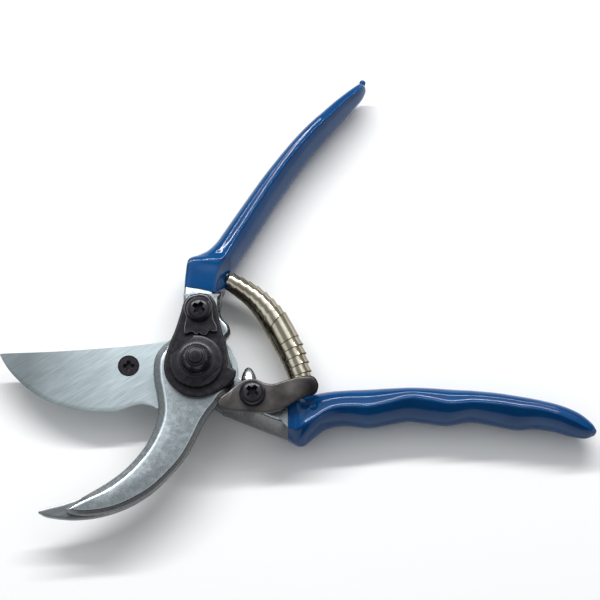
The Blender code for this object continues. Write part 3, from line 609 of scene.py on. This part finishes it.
def upper_handle():
    """The forged aluminium hook, with its sloped rim, and the neck of the upper handle."""
    low, high = levels("counter_blade")[1] + CLEARANCE, levels("cover_plate")[0] - CLEARANCE
    inner_edge = [
        (-5.0, 25.5), (-5.1, 21.0), (-5.7, 16.5), (-6.9, 12.6), (-9.3, 9.3), (-12.4, 6.6), (-14.5, 3.2),
        (-15.1, -0.6), (-14.7, -5.6), (-13.8, -10.0), (-13.1, -15.0), (-13.4, -18.9), (-14.8, -23.4),
        (-17.4, -28.7), (-21.0, -33.6), (-25.3, -38.0), (-30.6, -42.0), (-36.0, -45.3), (-41.0, -48.4),
        (-44.0, -50.6), (-44.3, -51.8), (-42.9, -52.6),
    ]
    outer_edge = [
        (-42.9, -52.6), (-38.5, -53.1), (-33.5, -52.7), (-27.9, -51.5), (-21.6, -48.9), (-14.9, -44.8),
        (-9.7, -40.0), (-4.5, -34.0), (-0.8, -27.6), (2.2, -21.2), (4.7, -17.1), (6.9, -14.4), (8.6, -11.7),
    ]
    stop_side = [
        (11.4, 2.5), (10.4, 7.0), (10.2, 9.4), (11.3, 11.0), (11.6, 12.8), (10.7, 15.0), (8.8, 17.0),
        (7.8, 20.5), (7.9, 25.5),
    ]
    eye = arc(14.5, -52, -25, 12)
    stop = spline([eye[-1], (13.0, -2.5), *stop_side], 7)
    outline = closed(spline(inner_edge, 7), spline(outer_edge, 7), eye, stop)
    steps = [
        (low, 0.3), (low + 0.08, 0.08), (low + 0.3, 0), (high - 1.9, 0), (high - 1.75, 0.05),
        (high - 1.6, 0.2), (high - 1.25, 0.75), (high - 0.6, 1.75), (high - 0.4, 2.05), (high - 0.22, 2.35),
        (high - 0.08, 2.7), (high, 3.2),
    ]
    body = plate("upper_handle_body", outline, steps, slope_scale)
    bm = bmesh.new()
    skin(bm, handle_rings(UPPER_NECK, 4))
    neck = make("neck", bm)
    combine(body, "UNION", neck)
    combine(body, "DIFFERENCE", hole(STILL_HOLE, 0, 22))
    return finish_piece(body, ALUMINIUM, "hook_handle", "upper_handle")


def counter_blade():
    """The hardened steel counter blade under the hook, which reaches past it at the tip."""
    inner_edge = [
        (-11.6, 3.5), (-14.6, 2.0), (-15.4, -0.8), (-15.0, -5.6), (-14.1, -10.0), (-13.4, -15.2),
        (-13.8, -18.8), (-15.2, -23.2), (-17.8, -28.7), (-21.4, -33.6), (-25.6, -37.8), (-30.9, -41.6),
        (-36.1, -44.6), (-41.3, -47.0), (-46.5, -48.7), (-51.6, -50.0), (-53.9, -50.8), (-54.3, -51.6),
    ]
    outer_edge = [
        (-54.3, -51.6), (-51.6, -52.9), (-46.4, -53.7), (-41.1, -53.9), (-34.4, -53.2), (-27.7, -51.4),
        (-21.3, -48.6), (-15.0, -44.4), (-10.0, -39.6), (-5.0, -33.6), (-1.4, -27.2), (1.6, -20.8),
        (3.6, -15.6), (4.3, -11.6),
    ]
    outline = closed(spline(inner_edge, 7), spline(outer_edge, 7), arc(12.3, -69.5, 163, 60))
    low, high = levels("counter_blade")
    steps = [(low, 0), (high - 0.35, 0), (high - 0.1, 0.15), (high, 0.4), (high, 1.0)]
    body = plate("counter_blade_body", outline, steps)
    combine(body, "DIFFERENCE", hole(STILL_HOLE, 0, 22))
    for k in (1, 2):
        at = centre(f"counter_blade_screw_{k}")
        wall = [(2.9, low - 1), (2.9, low + 0.2), (1.7, low + 1.4), (1.7, high + 1)]
        combine(body, "DIFFERENCE", turned("countersink", wall, (*at, 0), sides=48))
    return finish_piece(body, HOOK_STEEL, "hook_handle", "counter_blade")


def cover_plate():
    left_side = [
        (0.8, 25.3), (-2.7, 24.3), (-4.8, 21.6), (-5.6, 18.6), (-6.4, 15.8), (-7.7, 11.6), (-9.2, 7.8),
        (-10.6, 3.6),
    ]
    under_side = [
        (-10.6, 3.6), (-11.3, 0.2), (-11.2, -3.2), (-10.1, -6.2), (-7.8, -9.1), (-4.2, -11.7), (0.4, -12.6),
        (4.6, -12.0), (7.9, -10.2), (10.6, -8.6), (12.9, -6.2), (13.8, -4.4),
    ]
    step = [(13.8, -4.4), (13.9, -3.1), (13.5, -2.6)]
    right_side = [
        (11.3, -1.1), (10.9, 1.4), (10.4, 5.1), (9.8, 8.0), (8.7, 12.3), (7.9, 15.6), (7.1, 19.4),
        (6.2, 22.4), (4.1, 24.6), (0.8, 25.3),
    ]
    outline = closed(spline(left_side, 7), spline(under_side, 7), spline(step, 5), spline(right_side, 7))
    low, high = levels("cover_plate")
    body = plate("cover_plate_body", outline, rounded(low, high, 0.15, 0.85))
    screw_hole = hole(LOCK_SCREW_HOLE, 0, 30, centre("lock_plate_screw"))
    combine(body, "DIFFERENCE", hole(STILL_HOLE, 0, 30), screw_hole)
    return finish_piece(body, BLACK_STEEL, "hook_handle", "cover_plate")


NUT_TEETH = 30
NUT_RIM_TOP = 22.5
NUT_BORE = 2.6
FLAT_CUTTER_SIZE, FLAT_CUTTER_AT, FLAT_TURN = (24, 6, 3), (0, 10.1, 24.86), 42


def nut_rim(angle):
    """Radius of the nut's toothed rim at an angle in degrees."""
    return 9.2 + 0.15 * math.cos(math.radians(NUT_TEETH * angle))


def lock_plate():
    """The toothed lock plate. The bare line round its top edge is its own material."""
    left_side = [
        (0.9, 24.2), (-2.6, 23.0), (-4.3, 20.6), (-4.5, 18.2), (-3.7, 16.0), (-4.1, 13.4), (-4.3, 11.4),
        (-4.1, 9.8),
    ]
    right_side = [(7.1, 10.7), (7.0, 12.5), (5.9, 14.9), (5.5, 18.2), (5.2, 20.8), (3.6, 23.3), (0.9, 24.2)]
    teeth = [
        (-4.1, 9.7), (-3.0, 10.1), (-1.7, 10.5), (-1.0, 10.25), (-0.6, 9.7), (-0.1, 9.55), (0.3, 9.7),
        (0.8, 10.15), (1.3, 10.0), (1.8, 9.5), (2.5, 9.3), (3.1, 9.2), (3.5, 9.5), (4.1, 10.4), (4.7, 10.9),
        (5.8, 10.6), (7.1, 10.7),
    ]
    outline = closed(spline(left_side, 7), spline(teeth, 4), spline(right_side, 7))
    low, high = levels("lock_plate")
    steps = [(low, 0), (high - 0.22, 0), (high - 0.06, 0.07), (high, 0.24), (high, 0.5)]
    body = plate("lock_plate_body", outline, steps)
    finish_piece(body, BLACK_STEEL, "hook_handle", "lock_plate")
    body.data.materials.append(BARE_EDGE)
    for face in body.data.polygons:
        slanted = 0.2 < face.normal.z < 0.995
        face.material_index = 1 if slanted and face.center.z > (high - 0.35) * MM else 0
    return body


def pivot_nut():
    """The pivot nut: a toothed flange, a shallow shoulder cut by two flats, and a domed hub."""
    low = levels("pivot_nut")[0]
    sides = NUT_TEETH * 8
    rim = [
        (nut_rim(a) * math.cos(math.radians(a)), nut_rim(a) * math.sin(math.radians(a)))
        for a in np.arange(0, 360, 360 / sides)
    ]
    profile = [
        (9.2, 22.6), (9.22, 23.1), (9.15, 23.35), (9.0, 23.5), (8.75, 23.58), (8.3, 23.66), (7.6, 23.74),
        (7.0, 23.80), (6.4, 23.88), (5.8, 24.05), (5.35, 24.35), (5.05, 24.85), (4.8, 25.6), (4.6, 26.5),
        (4.4, 27.4), (4.1, 28.3), (3.75, 29.0), (3.4, 29.45), (3.0, 29.75), (2.65, 29.85),
    ]
    bm = bmesh.new()
    rings = [level(rim, low), level(rim, NUT_RIM_TOP)]
    skin(bm, rings + [circle(r, z, sides) for r, z in profile])
    nut = make("pivot_nut_body", bm)
    for k in range(2):
        bm = bmesh.new()
        bmesh.ops.create_cube(bm, size=1)
        bmesh.ops.scale(bm, vec=FLAT_CUTTER_SIZE, verts=bm.verts)
        bmesh.ops.translate(bm, vec=FLAT_CUTTER_AT, verts=bm.verts)
        turn = Euler((0, 0, math.radians(FLAT_TURN + 180 * k))).to_matrix()
        bmesh.ops.rotate(bm, cent=(0, 0, 0), matrix=turn, verts=bm.verts)
        combine(nut, "DIFFERENCE", make("flat", bm))
    combine(nut, "DIFFERENCE", hole(NUT_BORE, 0, 40))
    return finish_piece(nut, BLACK_STEEL, "hook_handle", "pivot_nut")


def pivot_bolt():
    low, top = levels("pivot_bolt")
    profile = [
        (7.3, low), (7.6, low + 0.06), (7.85, low + 0.2), (8.0, low + 0.5), (8.0, 1.85), (7.85, 2.0),
        (4.2, 2.0), (4.2, 20.1), (2.5, 20.7), (2.5, top - 0.6), (2.45, top - 0.35), (2.25, top - 0.18),
        (1.9, top - 0.08), (1.3, top - 0.02), (0.6, top),
    ]
    return finish_piece(turned("pivot_bolt_body", profile), BLACK_STEEL, "hook_handle", "pivot_bolt")


PAN_RADIUS, PAN_HEIGHT = 4.35, 2.8
PAN_RECESS, PAN_RECESS_DEPTH = 5.2, 2.4
FLUSH_RECESS_DEPTH = 1.5


def cross_recess(at, top, span, depth, turn=0.0):
    """The cutter of a cross recess: a tapered plus sign whose arms are span across."""

    def plus(half, width, z):
        corners = []
        for quarter in range(4):
            angle = math.radians(90 * quarter + turn)
            c, s = math.cos(angle), math.sin(angle)
            for x, y in ((half, -width), (half, width), (width * 1.2, width * 1.2)):
                corners.append((x * c - y * s, x * s + y * c, z))
        return corners

    bm = bmesh.new()
    half = span / 2
    skin(bm, [plus(half * 0.50, half * 0.20, top - depth), plus(half * 1.02, half * 0.30, top + 0.5)])
    return make("recess", bm, (*at, 0))


def pan_screw(node, body, turn):
    """A pan-head screw with a rounded head and a deep cross recess."""
    at, radius = centre(node), PAN_RADIUS
    low, top = levels(node)
    head = top - PAN_HEIGHT
    profile = [
        (2.0, low), (2.5, low + 0.5), (2.5, head), (radius - 0.15, head), (radius, head + 0.15),
        (radius, head + 0.75), (radius - 0.08, head + 1.15), (radius - 0.3, head + 1.6),
        (radius - 0.75, head + 2.05), (radius - 1.4, head + 2.4), (radius - 2.2, head + 2.65),
        (radius - 3.1, top - 0.03), (radius - 3.9, top),
    ]
    screw = turned(f"{node}_body", profile, (*at, 0), sides=96)
    combine(screw, "DIFFERENCE", cross_recess(at, top, PAN_RECESS, PAN_RECESS_DEPTH, turn))
    return finish_piece(screw, BLACK_STEEL, body, node)


def flush_screw(node, body, head_r, shank_r, upward, span):
    """A countersunk screw, whose head faces up, or down where upward is -1."""
    at = centre(node)
    low, top = levels(node)
    size = top - low
    profile = [(shank_r, 0), (shank_r, size - 1.5), (head_r, size - 0.25), (head_r - 0.08, size)]
    start = low if upward > 0 else top
    screw = turned(f"{node}_body", profile, (*at, start), (0, 0, upward), sides=72)
    cutter = cross_recess((0, 0), size, span, FLUSH_RECESS_DEPTH)
    cutter.rotation_euler = (0 if upward > 0 else math.pi, 0, 0)
    cutter.location = (at[0] * MM, at[1] * MM, start * MM)
    bpy.context.view_layer.update()
    combine(screw, "DIFFERENCE", cutter)
    return finish_piece(screw, BLACK_STEEL, body, node)


def upper_grip():
    """The upper dipped grip, with the drip left at its end."""
    bm = bmesh.new()
    rings = capped(handle_rings(UPPER_GRIP, 10), 0.5)
    skin(bm, marked(rings, (44.5, 91.7), (0.66, 0.75)))
    body = make("upper_grip_body", bm, sharp=SOFT_ANGLE)
    # The sleeve's end is cut off in a slant on each side of the front corner.
    bm = bmesh.new()
    cut = [
        (-9.0, 28.5), (-4.4, 28.3), (0.0, 27.7), (3.5, 26.9), (6.2, 26.1), (9.6, 30.2), (15.0, 36.0),
        (15.0, 20.0), (-9.0, 20.0),
    ]
    skin(bm, [level(cut, z) for z in (-5, 25)])
    combine(body, "DIFFERENCE", make("cut", bm))
    profile = [
        (0.6, -3.0), (1.0, -1.5), (1.05, -0.6), (0.95, 0.0), (1.08, 0.5), (1.18, 1.0), (1.14, 1.45),
        (0.95, 1.85), (0.6, 2.1), (0.2, 2.19),
    ]
    drip = turned("drip", profile, (58.9, 107.8, 8.3), (0.1, 1.0, 0.0), sides=32, sharp=SOFT_ANGLE)
    merge(body, drip)
    return finish_piece(body, VINYL, "hook_handle", "upper_grip")


# ---- the spring ----


SPRING_ROUTE = [
    (10.6, 33.25), (14.9, 30.5), (20.2, 26.5), (25.0, 21.0), (29.3, 14.2), (32.9, 6.8), (35.6, -0.6),
    (37.45, -7.6),
]
STRIP = 0.17
STRIP_EDGE = 0.05
BURR = 0.25
FLARE = 0.42
STRIP_SIDES = 64
UPPER_TURNS, LOWER_TURNS = 8, 6
UPPER_PITCH, LOWER_PITCH = 3.15, 3.2
UPPER_STEP, LOWER_STEP = 0.24, 0.20
OVERLAP = 0.8
WIDEST_R = 5.0
# Sides of the strip's section that are bright. The rest are dark, partly the sheared edge and partly
# painted shadow along the seams, and in the lower turns the burr is painted dark as seam shadow too.
UPPER_BRIGHT, LOWER_BRIGHT = (0, 1, 5, 6, 7, 8), (0, 1, 6, 7)


def volute_spring():
    """The strip wound into a double cone, each turn stepping out of the next wider one."""
    mid_z = sum(levels("upper_spring_pin")) / 2
    route = np.array(spline(SPRING_ROUTE, 16))
    run = np.concatenate([[0], np.cumsum(np.linalg.norm(np.diff(route, axis=0), axis=1))])
    total = run[-1]
    direction = np.gradient(route, run, axis=0)
    direction /= np.linalg.norm(direction, axis=1)[:, None]
    middle = (UPPER_PITCH * (UPPER_TURNS - 1), total - LOWER_PITCH * LOWER_TURNS)

    def place(s, angle, radius, lift):
        x, y = (np.interp(s, run, route[:, k]) for k in (0, 1))
        dx, dy = (np.interp(s, run, direction[:, k]) for k in (0, 1))
        across, up = radius * math.cos(angle) + lift, radius * math.sin(angle)
        return (x - dy * across, y + dx * across, mid_z + up)

    def seam(turn):
        """Where one turn stops showing and the next starts, along the spring."""
        past = turn - UPPER_TURNS
        if past < 0:
            return max(0.0, UPPER_PITCH * (turn - 1))
        if past < 1:
            return mix(*middle, past, 0, 1)
        return min(total, middle[1] + LOWER_PITCH * (past - 1))

    rings = []
    for k in range((UPPER_TURNS + 1 + LOWER_TURNS) * STRIP_SIDES + 1):
        turn = k / STRIP_SIDES
        past = turn - UPPER_TURNS
        outer = WIDEST_R + (UPPER_STEP * past if past < 0 else -LOWER_STEP * past)
        start = seam(turn) - mix(0, OVERLAP, past, 0.8, 1)
        end = min(total, seam(turn + 1) + mix(OVERLAP, -0.04, past + 1, 0, 0.2))
        angle = 2 * math.pi * turn
        # A turn is straight while the spring bends, so its free edge stands out on the outer side.
        at_start = 0.5 * FLARE * mix(1, 0, past, 0, 1) * mix(0, 1, turn, 0.5, 1.5)
        at_end = FLARE * mix(0, 1, past, 0, 1) * mix(1, 0, past, LOWER_TURNS - 0.5, LOWER_TURNS + 0.5)
        half = (start + end) / 2
        inner, thin = outer - STRIP, STRIP_EDGE
        section = [
            (start + thin, inner, at_start), (half, inner, 0), (end - thin, inner, at_end),
            (end, inner + thin, at_end), (end, outer - thin, at_end), (end - thin, outer, at_end),
            (end - BURR, outer, 0.8 * at_end), (half, outer, 0), (start + BURR, outer, 0.8 * at_start),
            (start + thin, outer, at_start), (start, outer - thin, at_start),
            (start, inner + thin, at_start),
        ]
        rings.append([place(s, angle, radius, lift) for s, radius, lift in section])
    bm = bmesh.new()
    skin(bm, rings)
    spring = make("volute_spring_body", bm, sharp=40)
    spring.data.materials.append(SPRING_STEEL)
    # The second material is painted shadow along the seams between the turns, on the strip's edge and, in
    # the lower turns, its burr.
    spring.data.materials.append(SPRING_EDGE_AND_SEAM_SHADOW)
    for k, face in enumerate(spring.data.polygons):
        upper = k < 12 * STRIP_SIDES * UPPER_TURNS
        face.material_index = 0 if k % 12 in (UPPER_BRIGHT if upper else LOWER_BRIGHT) else 1
    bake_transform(spring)
    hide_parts("volute_spring")
    return spring


def spring_pin(node, body, direction):
    """A pin with a collar, pressed into the handle."""
    low, high = (np.array(corner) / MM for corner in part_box(node))
    reach = 4.7
    profile = [
        (1.8, -reach), (1.8, -0.6), (3.05, -0.6), (3.2, -0.45), (3.2, 0.45), (3.05, 0.6), (1.8, 0.6),
        (1.8, 3.4), (1.5, 4.0), (1.0, 4.4),
    ]
    seat = (low + high) / 2 + 0.3 * np.array((*direction, 0))
    pin = turned(f"{node}_body", profile, tuple(seat), (*direction, 0), sides=48)
    return finish_piece(pin, BLACK_STEEL, body, node)


# ---- the turning side ----

LOWER_GRIP = [
    ((31.9, -12.3), (31.9, -24.8), 1.1, 15.9, ELBOW),
    ((32.5, -11.8), (32.5, -25.1), 0.9, 16.2, ELBOW),
    ((35.0, -10.6), (34.6, -26.4), 0.5, 16.3, ELBOW),
    ((38.0, -9.2), (37.4, -26.7), 0.2, 16.4, grip_section(0.66)),
    ((41.6, -8.2), (40.9, -24.0), 0.1, 16.5, grip_section(0.66)),
    ((45.2, -7.6), (44.4, -21.2), 0.0, 16.6, grip_section(0.64)),
    ((49.2, -7.2), (48.6, -19.7), 0.0, 16.6, grip_section(0.61)),
    ((54.0, -6.9), (53.6, -19.5), 0.0, 16.6, grip_section(0.60)),
    ((60.6, -6.6), (60.3, -20.2), 0.0, 16.6, grip_section(0.58)),
    ((67.6, -6.3), (67.2, -19.0), 0.0, 16.6, grip_section(0.53)),
    ((74.6, -6.2), (74.2, -17.8), 0.0, 16.6, grip_section(0.45)),
    ((81.6, -6.3), (81.0, -18.5), 0.0, 16.6, grip_section(0.48)),
    ((88.7, -6.7), (88.0, -19.3), 0.0, 16.6, grip_section(0.53)),
    ((97.1, -7.3), (96.3, -18.1), 0.0, 16.6, grip_section(0.53)),
    ((105.2, -8.1), (104.3, -19.3), 0.0, 16.6, grip_section(0.49)),
    ((113.6, -9.4), (112.3, -20.8), 0.1, 16.4, grip_section(0.47)),
    ((120.8, -10.8), (118.6, -20.5), 0.3, 16.1, grip_section(0.49)),
    ((127.8, -12.6), (125.0, -21.4), 0.8, 15.6, grip_section(0.52)),
    ((134.2, -15.3), (131.2, -23.2), 1.9, 14.4, grip_section(0.54)),
    ((138.6, -18.9), (136.2, -24.1), 3.9, 12.4, grip_section(0.54)),
    ((140.0, -21.2), (139.0, -23.4), 6.0, 10.4, grip_section(0.50)),
]


def lower_handle():
    """The carrier behind the blade, the pivot disc, the neck, the catch's lug and the nose."""
    low, high = levels("head_washer")[1] + CLEARANCE, levels("cutting_blade")[0] - CLEARANCE
    disc = arc(14.2, 132, -8, 70)
    shoulder = [
        (15.2, -2.8), (16.6, -3.7), (18.2, -5.8), (19.4, -9.4), (18.8, -13.4), (16.4, -15.9), (12.8, -16.1),
        (9.4, -14.9),
    ]
    lower_disc = arc(14.2, -66, -150, 40)
    arm_end = arc(6.3, 262, 98, 40, (-26.0, 0.7))
    outline = closed(disc, spline(shoulder, 4), lower_disc, [(-18.5, -5.8)], arm_end, [(-18.5, 7.9)])
    body = plate("lower_handle_body", outline, rounded(low, high, 0.7, 0.15))

    ear_side = [
        (15.5, -5.0), (17.7, -5.2), (20.2, -6.0), (22.4, -7.5), (25.0, -9.2), (28.0, -10.9), (34.6, -13.4),
    ]
    belly = [(34.6, -22.6), (33.2, -24.0), (31.4, -23.9), (28.0, -22.7), (20.0, -19.6), (9.0, -15.2)]
    neck_outline = closed(arc(15.3, -59, -16, 20), spline(ear_side, 6), spline(belly, 6), [(8.3, -14.2)])

    def bottom_slope(point):
        return mix(1.0, 0.1, point[1], -14.6, -12.6) * mix(0.3, 1.0, point[0], 8.0, 18.0)

    steps = [
        (2.4, 1.5), (3.2, 0.5), (4.2, 0), (7.2, 0), (7.8, 0.15), (14.2, 3.2), (14.6, 3.45), (14.85, 3.9),
        (14.9, 4.4),
    ]
    block = plate("neck_block", neck_outline, steps, bottom_slope)
    lug_top = levels("catch_bushing")[0] - CLEARANCE
    lug = turned("lug", [(5.0, 13.0), (5.0, lug_top - 0.4), (4.6, lug_top)], (*hinge("catch_turn"), 0))
    profile = [
        (3.0, -6.0), (3.0, -1.4), (2.9, 0.4), (2.65, 2.0), (2.25, 3.5), (1.7, 4.8), (1.05, 5.7), (0.4, 6.1),
    ]
    at = (18.3, -6.6, lug_top - 3.1)
    nose = turned("nose", profile, at, (-0.06, 1.0, 0.0), sides=64, sharp=SOFT_ANGLE)
    for part in (block, lug, nose):
        combine(body, "UNION", part)
    combine(body, "DIFFERENCE", hole(TURNING_HOLE, 0, 12))
    combine(body, "DIFFERENCE", hole(BLADE_SCREW_HOLE, 0, 12, centre("blade_screw")))
    return finish_piece(body, ALUMINIUM, "blade_handle", "lower_handle")


def cutting_blade():
    """The blade: flat at the front, and ground down to its edge from the back."""
    spine = [
        (-70.0, 5.4), (-68.4, 5.9), (-52.3, 6.5), (-34.7, 7.7), (-20.5, 9.0), (-12.5, 10.1), (-8.3, 11.0),
    ]
    edge = [
        (-1.2, -13.75), (-6.5, -14.1), (-10.5, -14.3), (-13.9, -14.0), (-15.6, -13.3), (-18.2, -12.6),
        (-20.8, -12.7), (-23.6, -13.4), (-26.6, -14.4), (-30.5, -15.15), (-37.6, -15.1), (-43.6, -14.2),
        (-51.8, -11.7), (-58.9, -7.5), (-64.4, -2.6), (-67.6, 1.3), (-70.0, 5.4),
    ]
    outline = closed(spline(spine, 8), arc(13.8, 127, -95, 60), spline(edge, 8))
    low, high = levels("cutting_blade")

    def grind(point):
        below_spine = 5.4 + 0.105 * (point[0] + 70.0) - point[1]
        depth = min(5.5, max(0.0, 0.45 * below_spine))
        return 0.25 + mix(depth, 0.0, point[0], -22.0, -13.0)

    steps = [(low, 1.0), (high - 0.25, 0.03), (high - 0.06, 0), (high, 0.06), (high, 0.3)]
    body = plate("cutting_blade_body", outline, steps, grind)
    combine(body, "DIFFERENCE", hole(TURNING_HOLE, 0, 12))
    wall = [(2.3, low - 1), (2.3, high - 1.9), (3.8, high - 0.4), (3.8, high + 1)]
    combine(body, "DIFFERENCE", turned("countersink", wall, (*centre("blade_screw"), 0)))
    return finish_piece(body, BLADE_STEEL, "blade_handle", "cutting_blade")


def catch_lever():
    """The stamped catch, dished over at its thumb end."""
    upper_side = [
        (8.1, -12.6), (11.4, -10.2), (14.2, -7.7), (16.6, -6.2), (19.4, -5.8), (21.9, -6.4), (24.2, -7.4),
        (27.0, -7.6), (30.0, -6.7), (34.0, -5.5), (37.8, -4.7), (40.1, -4.7), (41.7, -5.9), (42.5, -8.2),
        (41.8, -10.2), (40.0, -11.3), (35.2, -13.3), (31.2, -15.8), (27.2, -17.5), (21.8, -17.9),
        (12.6, -17.2), (8.0, -15.9),
    ]
    outline = closed(spline(upper_side, 7), spline([(8.0, -15.9), (7.6, -14.2), (8.1, -12.6)], 6))
    low, high = levels("catch_lever")
    plate_low = levels("cover_plate")[0] + 0.1

    def bend(point):
        return mix(1.0, 4.5, point[0], 35.0, 42.0)

    steps = [
        (plate_low, 0.15), (plate_low + 0.15, 0.0), (high - 0.62, 0), (high - 0.42, 0.04),
        (high - 0.24, 0.14), (high - 0.1, 0.3), (high - 0.03, 0.5), (high, 0.8),
    ]
    body = plate("catch_lever_body", outline, steps, bend)
    outer = spline([(40.3, -4.75), (41.7, -5.9), (42.5, -8.2), (41.8, -10.2), (40.2, -11.2)], 8)
    inner = spline([(39.4, -9.6), (40.3, -8.9), (40.7, -8.0), (40.4, -7.0), (39.7, -6.3)], 8)
    lip = plate("lip", closed(outer, inner), [(low, 0.3), (low + 0.4, 0.05), (high - 0.9, 0.02)])
    combine(body, "UNION", lip)
    combine(body, "DIFFERENCE", hole(CATCH_HOLE, 0, 30, hinge("catch_turn")))
    return finish_piece(body, CATCH_STEEL, "catch", "catch_lever")


def lower_grip():
    """The lower dipped grip, with finger waves, a round dimple and a small moulding mark."""
    bm = bmesh.new()
    rings = capped(handle_rings(LOWER_GRIP, 14), 0.5)
    skin(bm, marked(rings, (96.0, -8.0), (1.0, 0.0)))
    body = make("lower_grip_body", bm, sharp=SOFT_ANGLE)
    profile = [(0.8, -1.0), (1.5, -0.8), (1.9, -0.3), (2.1, 0.2), (2.4, 1.6)]
    dimple = turned("dimple", profile, (40.5, -14.3, 16.3), (0.0, 0.15, 1.0), sides=48)
    combine(body, "DIFFERENCE", dimple)
    return finish_piece(body, VINYL, "blade_handle", "lower_grip")


RING_CHAMFER = 0.12


def ring_piece(node, body, inner, material):
    """A washer or bushing as big as its CAD node, with softened edges."""
    low, high = levels(node)
    box_low, box_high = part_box(node)
    outer = (box_high[0] - box_low[0]) / 2 / MM
    c = RING_CHAMFER
    profile = [
        (inner, low + c), (inner + c, low), (outer - c, low), (outer, low + c), (outer, high - c),
        (outer - c, high), (inner + c, high), (inner, high - c),
    ]
    ring = turned(f"{node}_body", profile, (*centre(node), 0), hollow=True)
    return finish_piece(ring, material, body, node)


# ---- floor, light and camera ----

FLOOR_COLOUR = (0.93, 0.93, 0.93)
FLOOR_DROP = 0.05
# The world is a ring of soft light, brightest towards KEY_SIDE, between a dim horizon and a dim zenith.
# RING_RISE and RING_FALL are the heights, on a unit sphere, where it comes up and goes down.
HORIZON_LIGHT, RING_LIGHT, ZENITH_LIGHT = 0.22, 1.05, 0.26
RING_RISE, RING_FALL = (0.52, 0.74), (0.86, 0.95)
KEY_SIDE = (-0.15, 1.0, 0.0)
FAR_SHARE, KEY_SHARE = 0.45, 1.50
SKY_COLOUR = (0.96, 0.985, 1.0, 1)
SOFTBOX_AT, SOFTBOX_AIM, SOFTBOX_SIZE, SOFTBOX_WATTS = (0, 600, 600), (40, 20, 0), (1100, 40), 7.6
CAMERA_AIM = (36.1, 25.7, 10.0)
CAMERA_DISTANCE = 800
CAMERA_TILT = 16
CAMERA_LENS = 134.8


def floor():
    bm = bmesh.new()
    bmesh.ops.create_grid(bm, x_segments=1, y_segments=1, size=6000)
    obj = make("floor", bm, (0, 0, -FLOOR_DROP))
    made, nodes, links, shader = new_material("floor")
    soft = noise(nodes, links, position(nodes, links), 3.0, 2)
    low = tuple(0.985 * c for c in FLOOR_COLOUR)
    links.new(ramp(nodes, links, soft, low, FLOOR_COLOUR), shader.inputs["Base Color"])
    shader.inputs["Roughness"].default_value = 0.8
    shader.inputs["Specular IOR Level"].default_value = 0.1
    obj.data.materials.append(made)


def softbox():
    """A long, narrow lamp that draws the bright lines along the grips."""
    data = bpy.data.lights.new("softbox", "AREA")
    data.shape = "RECTANGLE"
    data.size, data.size_y = (s * MM for s in SOFTBOX_SIZE)
    data.energy = SOFTBOX_WATTS
    obj = bpy.data.objects.new("softbox", data)
    bpy.context.scene.collection.objects.link(obj)
    obj.location = Vector(SOFTBOX_AT) * MM
    obj.rotation_euler = (Vector(SOFTBOX_AIM) - Vector(SOFTBOX_AT)).to_track_quat("-Z", "Y").to_euler()


def lights():
    world = bpy.data.worlds.new("studio")
    world.use_nodes = True
    nodes, links = world.node_tree.nodes, world.node_tree.links
    direction = nodes.new("ShaderNodeTexCoord")
    parts = nodes.new("ShaderNodeSeparateXYZ")
    links.new(direction.outputs["Generated"], parts.inputs["Vector"])
    rise = spread(nodes, links, parts.outputs["Z"], HORIZON_LIGHT, RING_LIGHT, *RING_RISE)
    fall = spread(nodes, links, parts.outputs["Z"], 1.0, ZENITH_LIGHT / RING_LIGHT, *RING_FALL)
    towards = nodes.new("ShaderNodeVectorMath")
    towards.operation = "DOT_PRODUCT"
    towards.inputs[1].default_value = KEY_SIDE
    links.new(direction.outputs["Generated"], towards.inputs[0])
    side = spread(nodes, links, towards.outputs["Value"], FAR_SHARE, KEY_SHARE, -0.7, 0.7)
    strength = rise
    for factor in (fall, side):
        product = nodes.new("ShaderNodeMath")
        product.operation = "MULTIPLY"
        links.new(strength, product.inputs[0])
        links.new(factor, product.inputs[1])
        strength = product.outputs["Value"]
    links.new(strength, nodes["Background"].inputs["Strength"])
    nodes["Background"].inputs["Color"].default_value = SKY_COLOUR
    bpy.context.scene.world = world
    softbox()


def camera():
    data = bpy.data.cameras.new("camera")
    data.lens = CAMERA_LENS
    data.sensor_width = 36
    data.clip_start, data.clip_end = 0.01, 20
    obj = bpy.data.objects.new("camera", data)
    bpy.context.scene.collection.objects.link(obj)
    tilt = math.radians(CAMERA_TILT)
    back = Vector((0, -math.sin(tilt), math.cos(tilt)))
    obj.location = (Vector(CAMERA_AIM) + back * CAMERA_DISTANCE) * MM
    obj.rotation_euler = (tilt, 0, 0)
    bpy.context.scene.camera = obj


def main():
    camera()
    lights()
    floor()
    upper_handle()
    counter_blade()
    cover_plate()
    lock_plate()
    pivot_nut()
    pivot_bolt()
    upper_grip()
    lower_handle()
    lower_grip()
    cutting_blade()
    catch_lever()
    pan_screw("lock_plate_screw", "hook_handle", 58)
    pan_screw("catch_screw", "blade_handle", 52)
    flush_screw("blade_screw", "blade_handle", head_r=3.5, shank_r=2.0, upward=1, span=4.4)
    for k in (1, 2):
        flush_screw(f"counter_blade_screw_{k}", "hook_handle", head_r=2.6, shank_r=1.4, upward=-1, span=2.8)
    volute_spring()
    spring_pin("upper_spring_pin", "hook_handle", (0.857, -0.515))
    spring_pin("lower_spring_pin", "blade_handle", (-0.30, 0.954))
    ring_piece("head_washer", "hook_handle", 4.5, BRONZE)
    ring_piece("pivot_bushing", "blade_handle", 4.3, BRONZE)
    ring_piece("catch_bushing", "blade_handle", 2.8, BRONZE)
    ring_piece("catch_spring_washer", "blade_handle", 2.8, BLACK_STEEL)
    bpy.context.scene.view_settings.view_transform = "Standard"


main()
